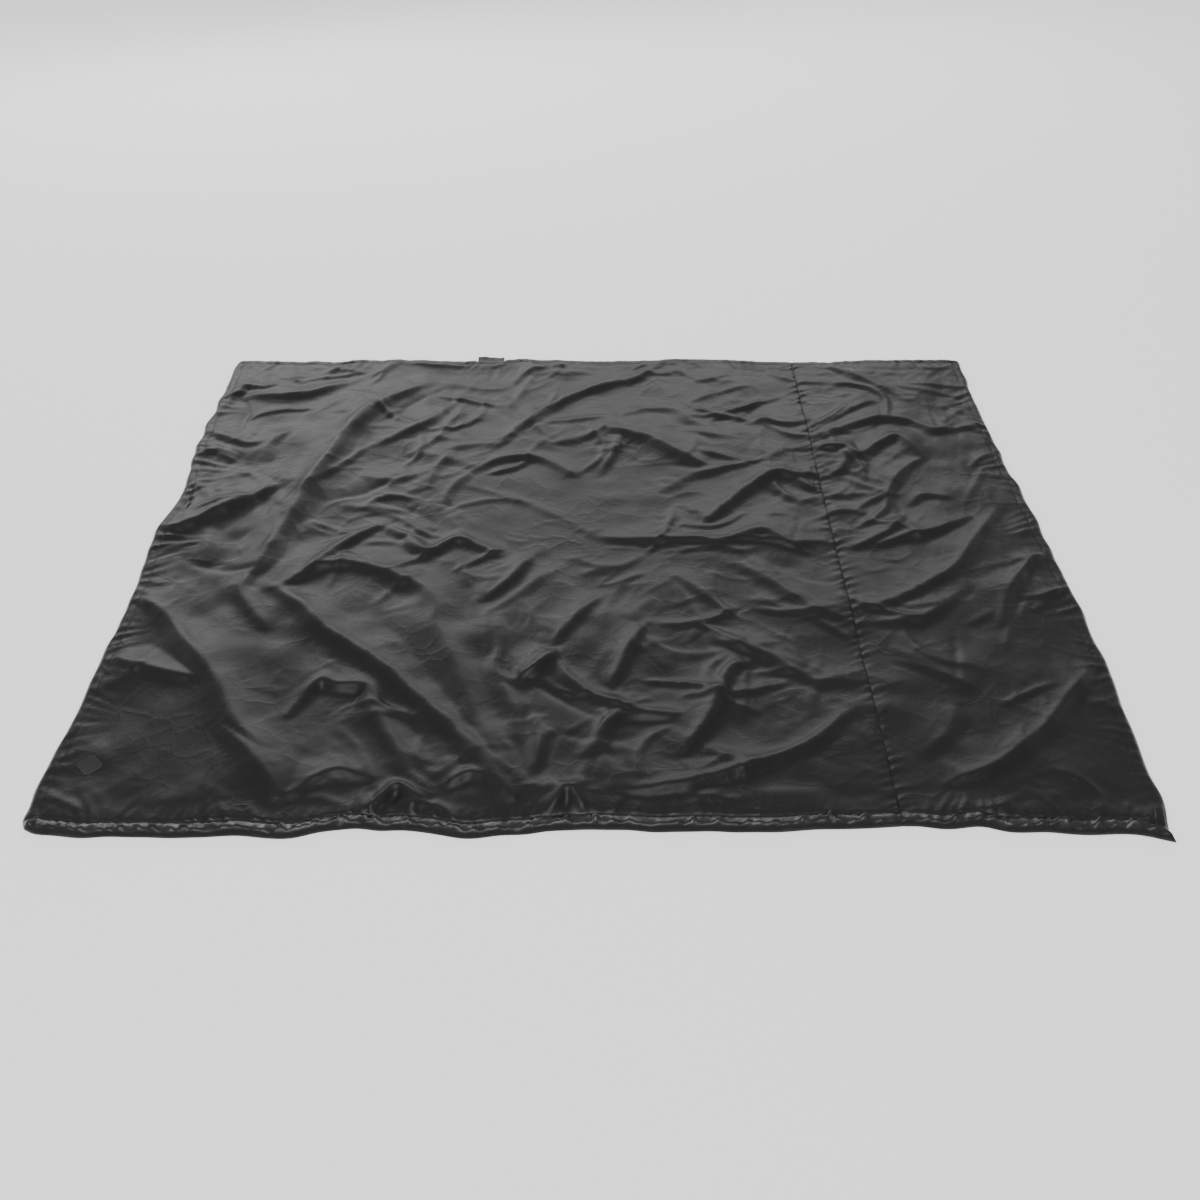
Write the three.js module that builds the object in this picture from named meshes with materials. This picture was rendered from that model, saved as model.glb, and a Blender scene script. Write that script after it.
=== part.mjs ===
// A rectangular camp quilt lying flat on the ground, in millimetres, +Z up.
// X runs across the quilt, Y from its front edge to its rear edge, and the origin is on the
// ground under the middle of the quilt. A wide main panel and a narrow side panel are sewn
// together along a join seam. Each panel is a cover, a batt of insulation and a lining.
// A topstitched hem runs round the outside, and a lockstitch has a thread on each face.
import * as THREE from "three";

// Overall sizes
const quiltWidth = 1930;
const quiltLength = 1630;
const sidePanelWidth = 455;

// Cloth, batt and thread
const clothThickness = 0.5;
const loft = 14;
const slackRise = 16; // the tallest fold of slack cover above the batt
const threadThickness = 0.8;
const clearance = 0.3;

// Hem and seams, as distances in from the edge of a panel
const seamLip = 5; // where cover and lining lie face to face
const battInset = 8; // where the batt starts
const rimInset = 14; // where the padded rim outside the hem stitching is full
const hemInset = 25; // the row of topstitching
const grooveFloor = 4; // the flat floor of the groove that the stitching pulls down
const grooveSlope = 3;
const shoulder = 50; // where the batt has its full loft
const slackStart = 180; // the cover lies flat on the batt as far in as this
const slackSpacing = 115; // about how far apart the points of the slack cover are
const foldCrests = [[610, 1320], [-1400, 770]]; // crest to crest along X and along Y

// The batt as it is squeezed at the padded rim and under the stitching
const rimBatt = 6;
const stitchedBatt = 1.6;
const joinThreadInset = 2; // the join's stitching, in from the edge of the main panel

// Emblem and care label
const emblemAcross = 46;
const emblemBorder = 3;
const emblemThickness = 0.6;
const emblemFromLeft = 73;
const emblemFromFront = 150;
const labelWidth = 70;
const labelLength = 22;
const labelFromLeft = 673; // the middle of the label

// Heights that follow from those
const stitchGap = threadThickness + 2 * clearance; // under the lining, for the thread there
const skins = 2 * (clothThickness + clearance);
const hemSeamTop = 2 * clothThickness + clearance;
const joinSeamTop = stitchGap + hemSeamTop;
const rimTop = skins + rimBatt;
const grooveTop = stitchGap + skins + stitchedBatt;
const fullTop = skins + loft;

// Places
const left = -quiltWidth / 2;
const right = quiltWidth / 2;
const front = -quiltLength / 2;
const rear = quiltLength / 2;
const join = right - sidePanelWidth;

const grooveStart = hemInset - grooveFloor / 2 - grooveSlope;
const grooveEnd = hemInset + grooveFloor / 2 + grooveSlope;
const grooveInsets = [
  grooveStart,
  grooveStart + grooveSlope,
  grooveEnd - grooveSlope,
  grooveEnd,
];

// What a section across a hem or the join shows: how high the top of the cover and the underside
// of the lining are, at each distance in.
const hemSection = {
  insets: [0, seamLip, battInset, rimInset, ...grooveInsets, shoulder],
  tops: [
    [0, hemSeamTop],
    [seamLip, hemSeamTop],
    [rimInset, rimTop],
    [grooveInsets[0], rimTop],
    [grooveInsets[1], grooveTop],
    [grooveInsets[2], grooveTop],
    [grooveInsets[3], rimTop],
    [shoulder, fullTop],
  ],
  undersides: [
    [grooveInsets[0], 0],
    [grooveInsets[1], stitchGap],
    [grooveInsets[2], stitchGap],
    [grooveInsets[3], 0],
  ],
};
const joinSection = {
  insets: [0, seamLip, battInset, rimInset, shoulder],
  tops: [
    [0, joinSeamTop],
    [seamLip, joinSeamTop],
    [rimInset, rimTop],
    [shoulder, fullTop],
  ],
  undersides: [
    [seamLip, stitchGap],
    [battInset, 0],
  ],
};

// The height at a distance along a list of [distance, height] points, level beyond its ends.
function heightAt(points, distance) {
  const next = points.findIndex(([at]) => at >= distance);
  if (next === 0) return points[0][1];
  if (next < 0) return points[points.length - 1][1];
  const [a, from] = points[next - 1];
  const [b, to] = points[next];
  return THREE.MathUtils.mapLinear(distance, a, b, from, to);
}

// A panel's four edges, each with its section. The two panels stand a clearance apart.
function panelEdges(x0, x1, leftSection, rightSection) {
  return {
    x0,
    x1,
    nearest: (pick, best) => (x, y) =>
      best(
        heightAt(pick(leftSection), x - x0),
        heightAt(pick(rightSection), x1 - x),
        heightAt(pick(hemSection), y - front),
        heightAt(pick(hemSection), rear - y),
      ),
    leftSection,
    rightSection,
  };
}

const panels = {
  main: panelEdges(left, join - clearance / 2, hemSection, joinSection),
  side: panelEdges(join + clearance / 2, right, joinSection, hemSection),
};

// The lines of a grid between two edges: those of each edge's section and, if the cloth is
// slack there, more across the middle.
function gridLines(start, end, startSection, endSection, slack) {
  const lines = [
    ...startSection.insets.map((inset) => start + inset),
    ...endSection.insets.map((inset) => end - inset),
  ];
  const span = end - start - 2 * slackStart;
  if (slack && span > 0) {
    const steps = Math.max(1, Math.round(span / slackSpacing));
    for (let step = 0; step <= steps; step++)
      lines.push(start + slackStart + (span * step) / steps);
  }
  return lines.sort((a, b) => a - b);
}

// How far the slack cover stands above the batt: soft folds that die out towards every edge.
function slackAt(panel, x, y) {
  const fromEdge = Math.min(x - panel.x0, panel.x1 - x, y - front, rear - y);
  const share = THREE.MathUtils.smoothstep(
    fromEdge,
    slackStart,
    slackStart + slackSpacing,
  );
  const [wave, crossing] = foldCrests.map(([alongX, alongY]) =>
    Math.sin(2 * Math.PI * (x / alongX + y / alongY)),
  );
  return (slackRise * share * (1 + wave * crossing)) / 2;
}

// A closed layer over a grid of lines, between an underside and a top that are functions of
// x and y. Every layer splits its cells along the same diagonal, so neighbours stay parallel.
function layerGeometry(xs, ys, underside, top) {
  const positions = [];
  const indices = [];
  const at = (i, j, upper) => 2 * (i * ys.length + j) + (upper ? 1 : 0);
  for (const x of xs)
    for (const y of ys) positions.push(x, y, underside(x, y), x, y, top(x, y));
  for (let i = 0; i < xs.length - 1; i++)
    for (let j = 0; j < ys.length - 1; j++) {
      const [a, b] = [at(i, j, true), at(i + 1, j, true)];
      const [c, d] = [at(i + 1, j + 1, true), at(i, j + 1, true)];
      indices.push(a, b, c, a, c, d);
      indices.push(a - 1, c - 1, b - 1, a - 1, d - 1, c - 1);
    }
  const wall = (from, to) =>
    indices.push(from - 1, to - 1, to, from - 1, to, from);
  const lastX = xs.length - 1;
  const lastY = ys.length - 1;
  for (let i = 0; i < lastX; i++) {
    wall(at(i, 0, true), at(i + 1, 0, true));
    wall(at(i + 1, lastY, true), at(i, lastY, true));
  }
  for (let j = 0; j < lastY; j++) {
    wall(at(lastX, j, true), at(lastX, j + 1, true));
    wall(at(0, j + 1, true), at(0, j, true));
  }
  return new THREE.BufferGeometry()
    .setAttribute("position", new THREE.Float32BufferAttribute(positions, 3))
    .setIndex(indices);
}

const materials = {
  cover: new THREE.MeshStandardMaterial({ color: 0x3b393a, roughness: 0.42 }),
  lining: new THREE.MeshStandardMaterial({ color: 0x333132, roughness: 0.5 }),
  batt: new THREE.MeshStandardMaterial({ color: 0xe6e6e2, roughness: 0.95 }),
  thread: new THREE.MeshStandardMaterial({ color: 0x1d1c1c, roughness: 0.7 }),
  emblem: new THREE.MeshStandardMaterial({ color: 0x474546, roughness: 0.6 }),
  label: new THREE.MeshStandardMaterial({ color: 0x222122, roughness: 0.55 }),
};
for (const material of Object.values(materials)) material.metalness = 0;

const quilt = new THREE.Group();

function addPiece(name, geometry, material) {
  geometry.computeVertexNormals();
  const mesh = new THREE.Mesh(geometry, material);
  mesh.name = name;
  quilt.add(mesh);
  return mesh;
}

// Cover, batt and lining of one panel.
function addPanel(name, panel) {
  const baseTop = panel.nearest((section) => section.tops, Math.min);
  const groove = panel.nearest((section) => section.undersides, Math.max);
  const underside = (x, y) => Math.min(groove(x, y), baseTop(x, y) - hemSeamTop);
  const coverTop = (x, y) => baseTop(x, y) + slackAt(panel, x, y);
  const lines = (slack) => [
    gridLines(panel.x0, panel.x1, panel.leftSection, panel.rightSection, slack),
    gridLines(front, rear, hemSection, hemSection, slack),
  ];
  const insideBatt = (values) => {
    const [first, last] = [values[0], values[values.length - 1]];
    return values.filter(
      (v) => v >= first + battInset && v <= last - battInset,
    );
  };
  const [coverX, coverY] = lines(true);
  const [plainX, plainY] = lines(false);
  addPiece(
    "cover_" + name,
    layerGeometry(
      coverX,
      coverY,
      (x, y) => coverTop(x, y) - clothThickness,
      coverTop,
    ),
    materials.cover,
  );
  addPiece(
    "batt_" + name,
    layerGeometry(
      insideBatt(plainX),
      insideBatt(plainY),
      (x, y) => underside(x, y) + clothThickness + clearance,
      (x, y) => baseTop(x, y) - clothThickness - clearance,
    ),
    materials.batt,
  );
  addPiece(
    "lining_" + name,
    layerGeometry(
      plainX,
      plainY,
      underside,
      (x, y) => underside(x, y) + clothThickness,
    ),
    materials.lining,
  );
  return { baseTop, underside };
}

const surfaces = {
  main: addPanel("main", panels.main),
  side: addPanel("side", panels.side),
};

// The two threads of a row of lockstitch: one on the cover and one under the lining. A row has
// a width across it, and it lies a clearance off the cloth.
function addThreads(name, suffix, xs, ys, surface) {
  addPiece(
    name + "_thread" + suffix,
    layerGeometry(
      xs,
      ys,
      (x, y) => surface.baseTop(x, y) + clearance,
      (x, y) => surface.baseTop(x, y) + clearance + threadThickness,
    ),
    materials.thread,
  );
  addPiece(
    name + "_under_thread" + suffix,
    layerGeometry(
      xs,
      ys,
      (x, y) => surface.underside(x, y) - clearance - threadThickness,
      (x, y) => surface.underside(x, y) - clearance,
    ),
    materials.thread,
  );
}

const acrossThread = (centre) => [
  centre - threadThickness / 2,
  centre + threadThickness / 2,
];

// The hem rows along the left and right run from corner to corner, and those along the front
// and rear start beside them and stop where cover and lining come together at the join.
const cornerStart = hemInset + threadThickness / 2 + clearance;
const sideRow = [
  front + hemInset - threadThickness / 2,
  rear - hemInset + threadThickness / 2,
];
addThreads("left_hem", "", acrossThread(left + hemInset), sideRow, surfaces.main);
addThreads("right_hem", "", acrossThread(right - hemInset), sideRow, surfaces.side);
const joinInsets = [seamLip, battInset, rimInset];
const mainRow = [
  left + cornerStart,
  ...joinInsets.map((inset) => panels.main.x1 - inset).reverse(),
];
const endRow = [
  ...joinInsets.map((inset) => panels.side.x0 + inset),
  right - cornerStart,
];
for (const [name, y] of [
  ["front_hem", front + hemInset],
  ["rear_hem", rear - hemInset],
]) {
  addThreads(name, "_main", mainRow, acrossThread(y), surfaces.main);
  addThreads(name, "_side", endRow, acrossThread(y), surfaces.side);
}
const joinRow = [front + battInset, rear - battInset];
addThreads("join", "", acrossThread(panels.main.x1 - joinThreadInset), joinRow, surfaces.main);

// The emblem is a plain lozenge patch with a raised border of thread, near the front left corner.
function lozenge(across) {
  const reach = across / 2;
  return [
    new THREE.Vector2(reach, 0),
    new THREE.Vector2(0, reach),
    new THREE.Vector2(-reach, 0),
    new THREE.Vector2(0, -reach),
  ];
}

function addEmblem() {
  const borderInside = emblemAcross - 2 * emblemBorder;
  const border = new THREE.Shape(lozenge(emblemAcross));
  border.holes.push(new THREE.Path(lozenge(borderInside)));
  const patch = new THREE.Shape(lozenge(borderInside - 4 * clearance));
  for (const [name, shape, depth, material] of [
    ["emblem_patch", patch, emblemThickness, materials.emblem],
    ["emblem_border", border, 2 * emblemThickness, materials.thread],
  ]) {
    const geometry = new THREE.ExtrudeGeometry(shape, { depth, bevelEnabled: false });
    const mesh = addPiece(name, geometry, material);
    mesh.position.set(left + emblemFromLeft, front + emblemFromFront, fullTop + clearance);
  }
}
addEmblem();

// The care label is sewn into the rear edge and lies out behind it.
const label = addPiece(
  "care_label",
  new THREE.BoxGeometry(labelWidth, labelLength, clothThickness),
  materials.label,
);
label.position.set(
  left + labelFromLeft,
  rear + clearance + labelLength / 2,
  clothThickness + clothThickness / 2,
);

export default quilt;
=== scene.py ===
"""Finished looks of a camp quilt that lies spread on the ground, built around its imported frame.

Sheet coordinates run over the flat quilt in metres: across from its left edge and down from its
rear edge. Every other length is in metres too.
"""

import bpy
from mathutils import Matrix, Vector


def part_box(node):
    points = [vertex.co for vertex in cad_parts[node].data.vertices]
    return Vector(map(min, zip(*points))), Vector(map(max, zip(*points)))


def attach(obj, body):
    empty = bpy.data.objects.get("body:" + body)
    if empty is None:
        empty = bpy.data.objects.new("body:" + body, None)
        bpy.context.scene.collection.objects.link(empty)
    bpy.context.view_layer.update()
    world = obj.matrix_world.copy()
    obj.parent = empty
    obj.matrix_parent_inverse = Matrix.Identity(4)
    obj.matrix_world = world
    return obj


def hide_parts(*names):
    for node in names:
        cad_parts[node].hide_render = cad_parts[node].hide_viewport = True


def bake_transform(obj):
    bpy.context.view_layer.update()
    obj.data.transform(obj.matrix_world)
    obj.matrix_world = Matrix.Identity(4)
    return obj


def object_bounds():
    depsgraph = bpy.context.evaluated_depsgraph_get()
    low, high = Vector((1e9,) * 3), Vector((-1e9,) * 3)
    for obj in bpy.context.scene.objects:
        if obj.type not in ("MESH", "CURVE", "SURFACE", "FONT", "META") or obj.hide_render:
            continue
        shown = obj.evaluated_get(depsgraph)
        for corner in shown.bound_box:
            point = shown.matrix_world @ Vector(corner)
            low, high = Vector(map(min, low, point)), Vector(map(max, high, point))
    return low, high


bl_info = {
    "name": "Camp Quilt",
    "version": (1, 0, 0),
    "blender": (4, 5, 0),
    "location": "3D View > Sidebar > Quilt",
    "description": "Builds a crumpled satin camp quilt around its frame",
    "category": "Add Mesh",
}

import math
from functools import lru_cache

import bpy
import numpy as np
from bpy.props import FloatProperty, FloatVectorProperty, PointerProperty
from mathutils import Vector

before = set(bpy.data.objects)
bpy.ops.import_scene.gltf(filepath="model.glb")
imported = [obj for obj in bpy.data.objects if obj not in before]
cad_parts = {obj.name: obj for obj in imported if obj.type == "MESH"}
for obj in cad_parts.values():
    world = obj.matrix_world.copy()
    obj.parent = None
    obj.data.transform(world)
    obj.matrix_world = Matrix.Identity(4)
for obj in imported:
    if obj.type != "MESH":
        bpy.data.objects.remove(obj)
CAD_LOW, CAD_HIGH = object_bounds()

LEFT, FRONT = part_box("cover_main")[0].xy
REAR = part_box("cover_main")[1].y
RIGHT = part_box("cover_side")[1].x
JOIN = (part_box("cover_main")[1].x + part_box("cover_side")[0].x) / 2
WIDTH = RIGHT - LEFT
LENGTH = REAR - FRONT
SEAM = JOIN - LEFT
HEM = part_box("left_hem_thread")[0].x - LEFT  # the hem stitching, in from the edge
LABEL_LOW, LABEL_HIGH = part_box("care_label")
LABEL_HALF = (LABEL_HIGH.x - LABEL_LOW.x) / 2
LABEL_AT = LABEL_LOW.x + LABEL_HALF - LEFT

# The large folds: height, width of the steep side, and the crest's route in sheet coordinates.
FOLDS = (
    # rear left
    (0.036, 0.030, ((0.505, 0.145), (0.47, 0.18), (0.42, 0.24), (0.35, 0.37), (0.33, 0.47), (0.295, 0.60),
                    (0.275, 0.74), (0.25, 0.86), (0.235, 0.93))),
    (0.014, 0.016, ((0.235, 0.93), (0.225, 0.99), (0.25, 1.04), (0.30, 1.11))),
    (0.030, 0.032, ((0.225, 0.60), (0.18, 0.65), (0.11, 0.72), (0.05, 0.775), (0.0, 0.75))),
    (0.012, 0.012, ((0.222, 0.60), (0.245, 0.68), (0.27, 0.65), (0.30, 0.60))),
    (0.018, 0.020, ((0.02, 0.25), (0.055, 0.155), (0.10, 0.165), (0.145, 0.13))),
    (0.024, 0.030, ((0.06, 0.20), (0.13, 0.20), (0.22, 0.185), (0.31, 0.125))),
    (0.014, 0.018, ((0.0, 0.36), (0.07, 0.40), (0.12, 0.43), (0.16, 0.42))),
    (0.012, 0.016, ((0.0, 0.47), (0.06, 0.46), (0.10, 0.50))),
    (0.009, 0.020, ((0.21, 0.36), (0.17, 0.44), (0.19, 0.51))),
    (0.015, 0.022, ((0.43, 0.43), (0.49, 0.37), (0.54, 0.32), (0.60, 0.22))),
    (0.008, 0.022, ((0.40, 0.55), (0.47, 0.58), (0.53, 0.56))),
    (0.007, 0.020, ((0.38, 0.68), (0.45, 0.69), (0.53, 0.70))),
    (0.010, 0.016, ((0.44, 0.0), (0.40, 0.06), (0.37, 0.10))),
    (0.010, 0.016, ((0.28, 0.03), (0.25, 0.08), (0.26, 0.11))),
    # front left
    (0.020, 0.020, ((0.31, 0.98), (0.36, 0.92), (0.41, 0.83), (0.48, 0.75))),
    (0.027, 0.025, ((0.30, 0.985), (0.37, 1.057), (0.42, 1.12), (0.515, 1.20), (0.595, 1.28), (0.68, 1.375),
                    (0.76, 1.48), (0.81, 1.56))),
    (0.024, 0.028, ((0.30, 0.985), (0.35, 0.925), (0.43, 0.90), (0.52, 0.935), (0.60, 0.99), (0.63, 1.05),
                    (0.64, 1.12), (0.68, 1.22), (0.74, 1.37), (0.81, 1.52))),
    (0.026, 0.026, ((0.03, 1.02), (0.09, 1.07), (0.165, 1.17), (0.24, 1.27), (0.30, 1.375), (0.39, 1.48))),
    (0.016, 0.022, ((0.02, 1.20), (0.12, 1.24), (0.22, 1.27))),
    (0.020, 0.022, ((0.27, 1.38), (0.35, 1.465), (0.42, 1.56))),
    (0.020, 0.020, ((0.39, 1.355), (0.43, 1.27), (0.47, 1.275), (0.53, 1.285), (0.55, 1.35), (0.60, 1.44),
                    (0.66, 1.56))),
    (0.018, 0.017, ((0.495, 0.76), (0.545, 0.80), (0.595, 0.86), (0.66, 0.815), (0.75, 0.87))),
    (0.012, 0.014, ((0.56, 0.81), (0.60, 0.89))),
    (0.012, 0.018, ((0.42, 1.555), (0.50, 1.50), (0.57, 1.52))),
    (0.018, 0.012, ((0.57, 1.60), (0.61, 1.545), (0.64, 1.56), (0.65, 1.60))),
    (0.014, 0.014, ((0.70, 1.53), (0.74, 1.505), (0.80, 1.53))),
    # middle
    (0.022, 0.025, ((1.14, 0.0), (1.10, 0.06), (1.047, 0.115), (0.965, 0.155), (0.883, 0.21), (0.81, 0.29),
                    (0.75, 0.38), (0.71, 0.45))),
    (0.013, 0.020, ((0.66, 0.545), (0.72, 0.495), (0.79, 0.48), (0.84, 0.495), (0.91, 0.56))),
    (0.009, 0.017, ((0.66, 0.545), (0.62, 0.62), (0.61, 0.69))),
    (0.008, 0.010, ((0.71, 0.55), (0.76, 0.53), (0.79, 0.50))),
    (0.028, 0.028, ((0.985, 0.36), (1.015, 0.375), (1.08, 0.41), (1.15, 0.475), (1.21, 0.525))),
    (0.016, 0.015, ((1.015, 0.38), (1.0, 0.45), (0.965, 0.555))),
    (0.010, 0.026, ((0.985, 0.36), (0.925, 0.39), (0.86, 0.42))),
    (0.009, 0.024, ((1.01, 0.31), (1.08, 0.265), (1.15, 0.27), (1.20, 0.33), (1.26, 0.37))),
    (0.008, 0.020, ((1.15, 0.36), (1.24, 0.39), (1.29, 0.40))),
    (0.008, 0.022, ((1.33, 0.33), (1.44, 0.30))),
    (0.008, 0.025, ((1.10, 0.63), (1.17, 0.57), (1.25, 0.545), (1.34, 0.50))),
    (0.025, 0.026, ((1.475, 0.545), (1.43, 0.56), (1.375, 0.555), (1.325, 0.595), (1.26, 0.67),
                    (1.19, 0.76))),
    (0.010, 0.012, ((1.355, 0.555), (1.37, 0.61), (1.40, 0.66))),
    (0.012, 0.012, ((1.415, 0.555), (1.44, 0.60), (1.475, 0.63))),
    (0.017, 0.022, ((0.965, 0.80), (1.02, 0.81), (1.15, 0.815), (1.22, 0.825), (1.27, 0.80), (1.325, 0.79),
                    (1.38, 0.83), (1.43, 0.82), (1.475, 0.82))),
    (0.008, 0.021, ((0.66, 0.60), (0.77, 0.65), (0.86, 0.71), (0.93, 0.77), (0.98, 0.82))),
    (0.015, 0.017, ((0.82, 0.87), (0.78, 0.95), (0.73, 1.02))),
    (0.012, 0.016, ((0.84, 0.0), (0.87, 0.05))),
    (0.012, 0.017, ((0.83, 0.035), (0.77, 0.08), (0.74, 0.14))),
    (0.009, 0.017, ((0.70, 0.20), (0.735, 0.25), (0.74, 0.32))),
    # front middle
    (0.012, 0.016, ((0.965, 1.01), (0.93, 1.06), (0.89, 1.13), (0.87, 1.17))),
    (0.020, 0.017, ((0.88, 1.19), (0.84, 1.24), (0.81, 1.26))),
    (0.013, 0.016, ((0.76, 1.08), (0.77, 1.16), (0.765, 1.24), (0.80, 1.34), (0.82, 1.44))),
    (0.015, 0.016, ((0.88, 1.22), (0.93, 1.29), (1.02, 1.345), (1.13, 1.365))),
    (0.018, 0.017, ((1.05, 1.105), (1.02, 1.18), (0.985, 1.285))),
    (0.024, 0.020, ((1.25, 1.21), (1.21, 1.24), (1.185, 1.31), (1.165, 1.37), (1.11, 1.46))),
    (0.014, 0.022, ((1.26, 0.90), (1.34, 0.98), (1.40, 1.05), (1.45, 1.075))),
    (0.013, 0.024, ((1.20, 1.15), (1.29, 1.19), (1.37, 1.26), (1.45, 1.26))),
    (0.018, 0.021, ((1.02, 1.55), (1.12, 1.53), (1.25, 1.48), (1.34, 1.43), (1.42, 1.35))),
    (0.013, 0.016, ((0.95, 1.46), (0.985, 1.38), (1.04, 1.36), (1.12, 1.375))),
    (0.012, 0.014, ((0.84, 1.36), (0.86, 1.43), (0.85, 1.50))),
    (0.016, 0.012, ((0.88, 1.60), (0.91, 1.55), (0.94, 1.60))),
    # side panel
    (0.016, 0.021, ((1.55, 0.02), (1.62, 0.09), (1.69, 0.16), (1.73, 0.20))),
    (0.012, 0.016, ((1.49, 0.37), (1.56, 0.30), (1.62, 0.25), (1.66, 0.23))),
    (0.016, 0.020, ((1.50, 0.41), (1.58, 0.345), (1.66, 0.31), (1.73, 0.32), (1.79, 0.365), (1.83, 0.34))),
    (0.022, 0.018, ((1.485, 0.445), (1.55, 0.445), (1.585, 0.475), (1.63, 0.43), (1.685, 0.395), (1.72, 0.45),
                    (1.73, 0.485))),
    (0.013, 0.016, ((1.73, 0.485), (1.67, 0.545), (1.62, 0.64), (1.625, 0.72))),
    (0.012, 0.012, ((1.55, 0.455), (1.535, 0.53), (1.50, 0.56))),
    (0.015, 0.017, ((1.505, 0.84), (1.56, 0.81), (1.61, 0.77), (1.64, 0.72))),
    (0.017, 0.019, ((1.55, 0.835), (1.63, 0.80), (1.70, 0.78), (1.79, 0.725))),
    (0.009, 0.014, ((1.66, 0.68), (1.70, 0.64), (1.76, 0.65))),
    (0.016, 0.022, ((1.51, 1.05), (1.58, 1.01), (1.64, 0.97), (1.72, 0.90), (1.79, 0.79), (1.85, 0.70))),
    (0.011, 0.018, ((1.51, 1.09), (1.60, 1.08), (1.68, 1.03))),
    (0.015, 0.020, ((1.76, 1.10), (1.80, 1.0), (1.85, 0.92), (1.91, 0.87))),
    (0.019, 0.022, ((1.57, 1.525), (1.65, 1.49), (1.76, 1.40), (1.84, 1.30), (1.90, 1.22))),
    (0.009, 0.024, ((1.53, 1.16), (1.60, 1.22), (1.66, 1.29))),
    (0.008, 0.022, ((1.53, 1.46), (1.60, 1.39), (1.62, 1.33))),
    (0.008, 0.008, ((1.865, 1.63), (1.895, 1.60), (1.925, 1.56))),
)

# How far each edge strays outwards from the cut outline, as (place along the edge, distance).
EDGE_DRIFT = {
    "left": ((0, 0), (0.2, 0.006), (0.4, 0.009), (0.5, 0.005), (0.6, 0.001), (0.72, 0.002), (0.8, 0.012),
             (1.0, 0.006), (1.1, 0.001), (1.3, 0.002), (1.45, 0.006), (1.55, 0.012), (1.63, 0.013)),
    "right": ((0, -0.003), (0.12, -0.008), (0.25, -0.01), (0.42, -0.006), (0.52, -0.001), (0.68, 0.009),
              (0.86, 0.011), (1.06, 0.015), (1.19, 0.019), (1.3, 0.011), (1.43, 0.004), (1.62, -0.006)),
    "rear": ((0, -0.006), (0.28, -0.008), (0.34, 0.001), (0.6, 0.001), (0.65, 0.007), (0.8, 0), (1.1, 0),
             (1.2, 0.006), (1.3, 0.004), (1.4, -0.008), (1.47, -0.014), (1.56, -0.010), (1.68, 0.001),
             (1.85, 0.001), (1.93, -0.005)),
    "front": ((0, 0.001), (0.15, 0.006), (0.30, 0.006), (0.36, 0.001), (0.42, 0.011), (0.5, -0.002),
              (0.56, -0.009), (0.62, -0.009), (0.68, 0.002), (0.76, 0.011), (0.84, 0), (0.92, -0.009),
              (1.03, -0.009), (1.12, 0), (1.27, -0.004), (1.4, -0.012), (1.53, -0.018), (1.63, -0.010),
              (1.78, 0), (1.86, 0.004), (1.93, 0.016)),
}

# Folds lie over with their steep side to the front right, away from the light.
STEEP_SIDE = np.array([0.42, 0.91])
FOLD_SPREAD = 2.8  # how many times wider the gentle side of a large fold is
FOLD_SHARE = 0.76  # the share of its given height that a fold near the front keeps
REAR_FOLD_SHARE = 0.64  # the share of that which is left at the rear edge
FULL_FOLDS_FROM = 1.25  # how far down the sheet the folds reach their full height
FOLD_SHARPNESS = 0.8  # the share of its given width that each steep side keeps

# Places that few small creases reach: across, down and radius.
CALM_PLACES = (
    (0.17, 1.40, 0.20),
    (1.30, 1.54, 0.13),
    (1.73, 0.60, 0.10),
    (0.24, 0.42, 0.07),
    (0.88, 0.42, 0.09),
)

LOFT = 0.0125  # the cover above the ground where the batt lies level
WIDE_SWELL = (0.0045, 0.22)  # height and size of the batt's broad unevenness
NARROW_SWELL = (0.0034, 0.065)
LOWEST_COVER = 0.0022
TOP_LIMIT = CAD_HIGH.z * 1.03 + 0.0085

# The cover's height over the plain batt, rounded down from HEM to the edge.
RIM_INSETS = (0, 0.001, 0.003, 0.006, 0.010, 0.0145, HEM, 0.05)
RIM_HEIGHTS = (0.0026, 0.0044, 0.0066, 0.0085, 0.0100, 0.0110, 0.0119, LOFT)

SEAM_DIP = 0.0026  # how far the join seam is pulled down
SEAM_DIP_REACH = 0.006
SEAM_TUCK_HEIGHT = 0.0046
SEAM_TUCK_REACH = 0.015

# The outline: how far in its drift fades out, and its scallops' depth and length.
DRIFT_REACH = 0.11
SCALLOP_DEPTH = 0.006
SCALLOP_LENGTH = 0.035
FRONT_LEFT_RADIUS = 0.042
REAR_LEFT_RADIUS = 0.022
REAR_RIGHT_RADIUS = 0.016
LABEL_CALM = 0.055  # the outline stays straight this far to each side of the label's middle

LINING_GAP = 0.0004  # the lining above the ground
LINING_GROOVE = 0.0016  # how far each row of stitching lifts it
LINING_CREASE_LIMIT = 0.0045

# The cloth settles on three grids, each finer: spacing, steps, slack, size of the slack patches.
SETTLE_LEVELS = (
    (0.020, 120, 0.003, 0.20),
    (0.010, 90, 0.0, 0.12),
    (0.00667, 40, 0.0, 0.06),
)
SETTLE_PASSES = 3
DAMPING = 0.9  # the share of its speed that the cloth keeps from step to step
FALL = 2e-5  # how far its weight moves it in a step
GRIP = 0.3  # how firmly the floor holds cloth that rests on it

CREASE_COUNT = 340
CREASES_PER_BUNCH = 9
BUNCHED_SHARE = 0.7  # of the small creases, the rest lie singly
BUNCH_RADIUS = 0.055
CREASE_STRAY = 0.45  # how far a crease turns from the folds beside it, in radians
CROSSING_SHARE = 0.25
RAISED_SHARE = 0.8  # of the small creases, the rest are pressed in

LIGHT_COAT = 0.11  # weight of the satin's coat away from the front hem


# ---------------------------------------------------------------- height of the folds

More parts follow.
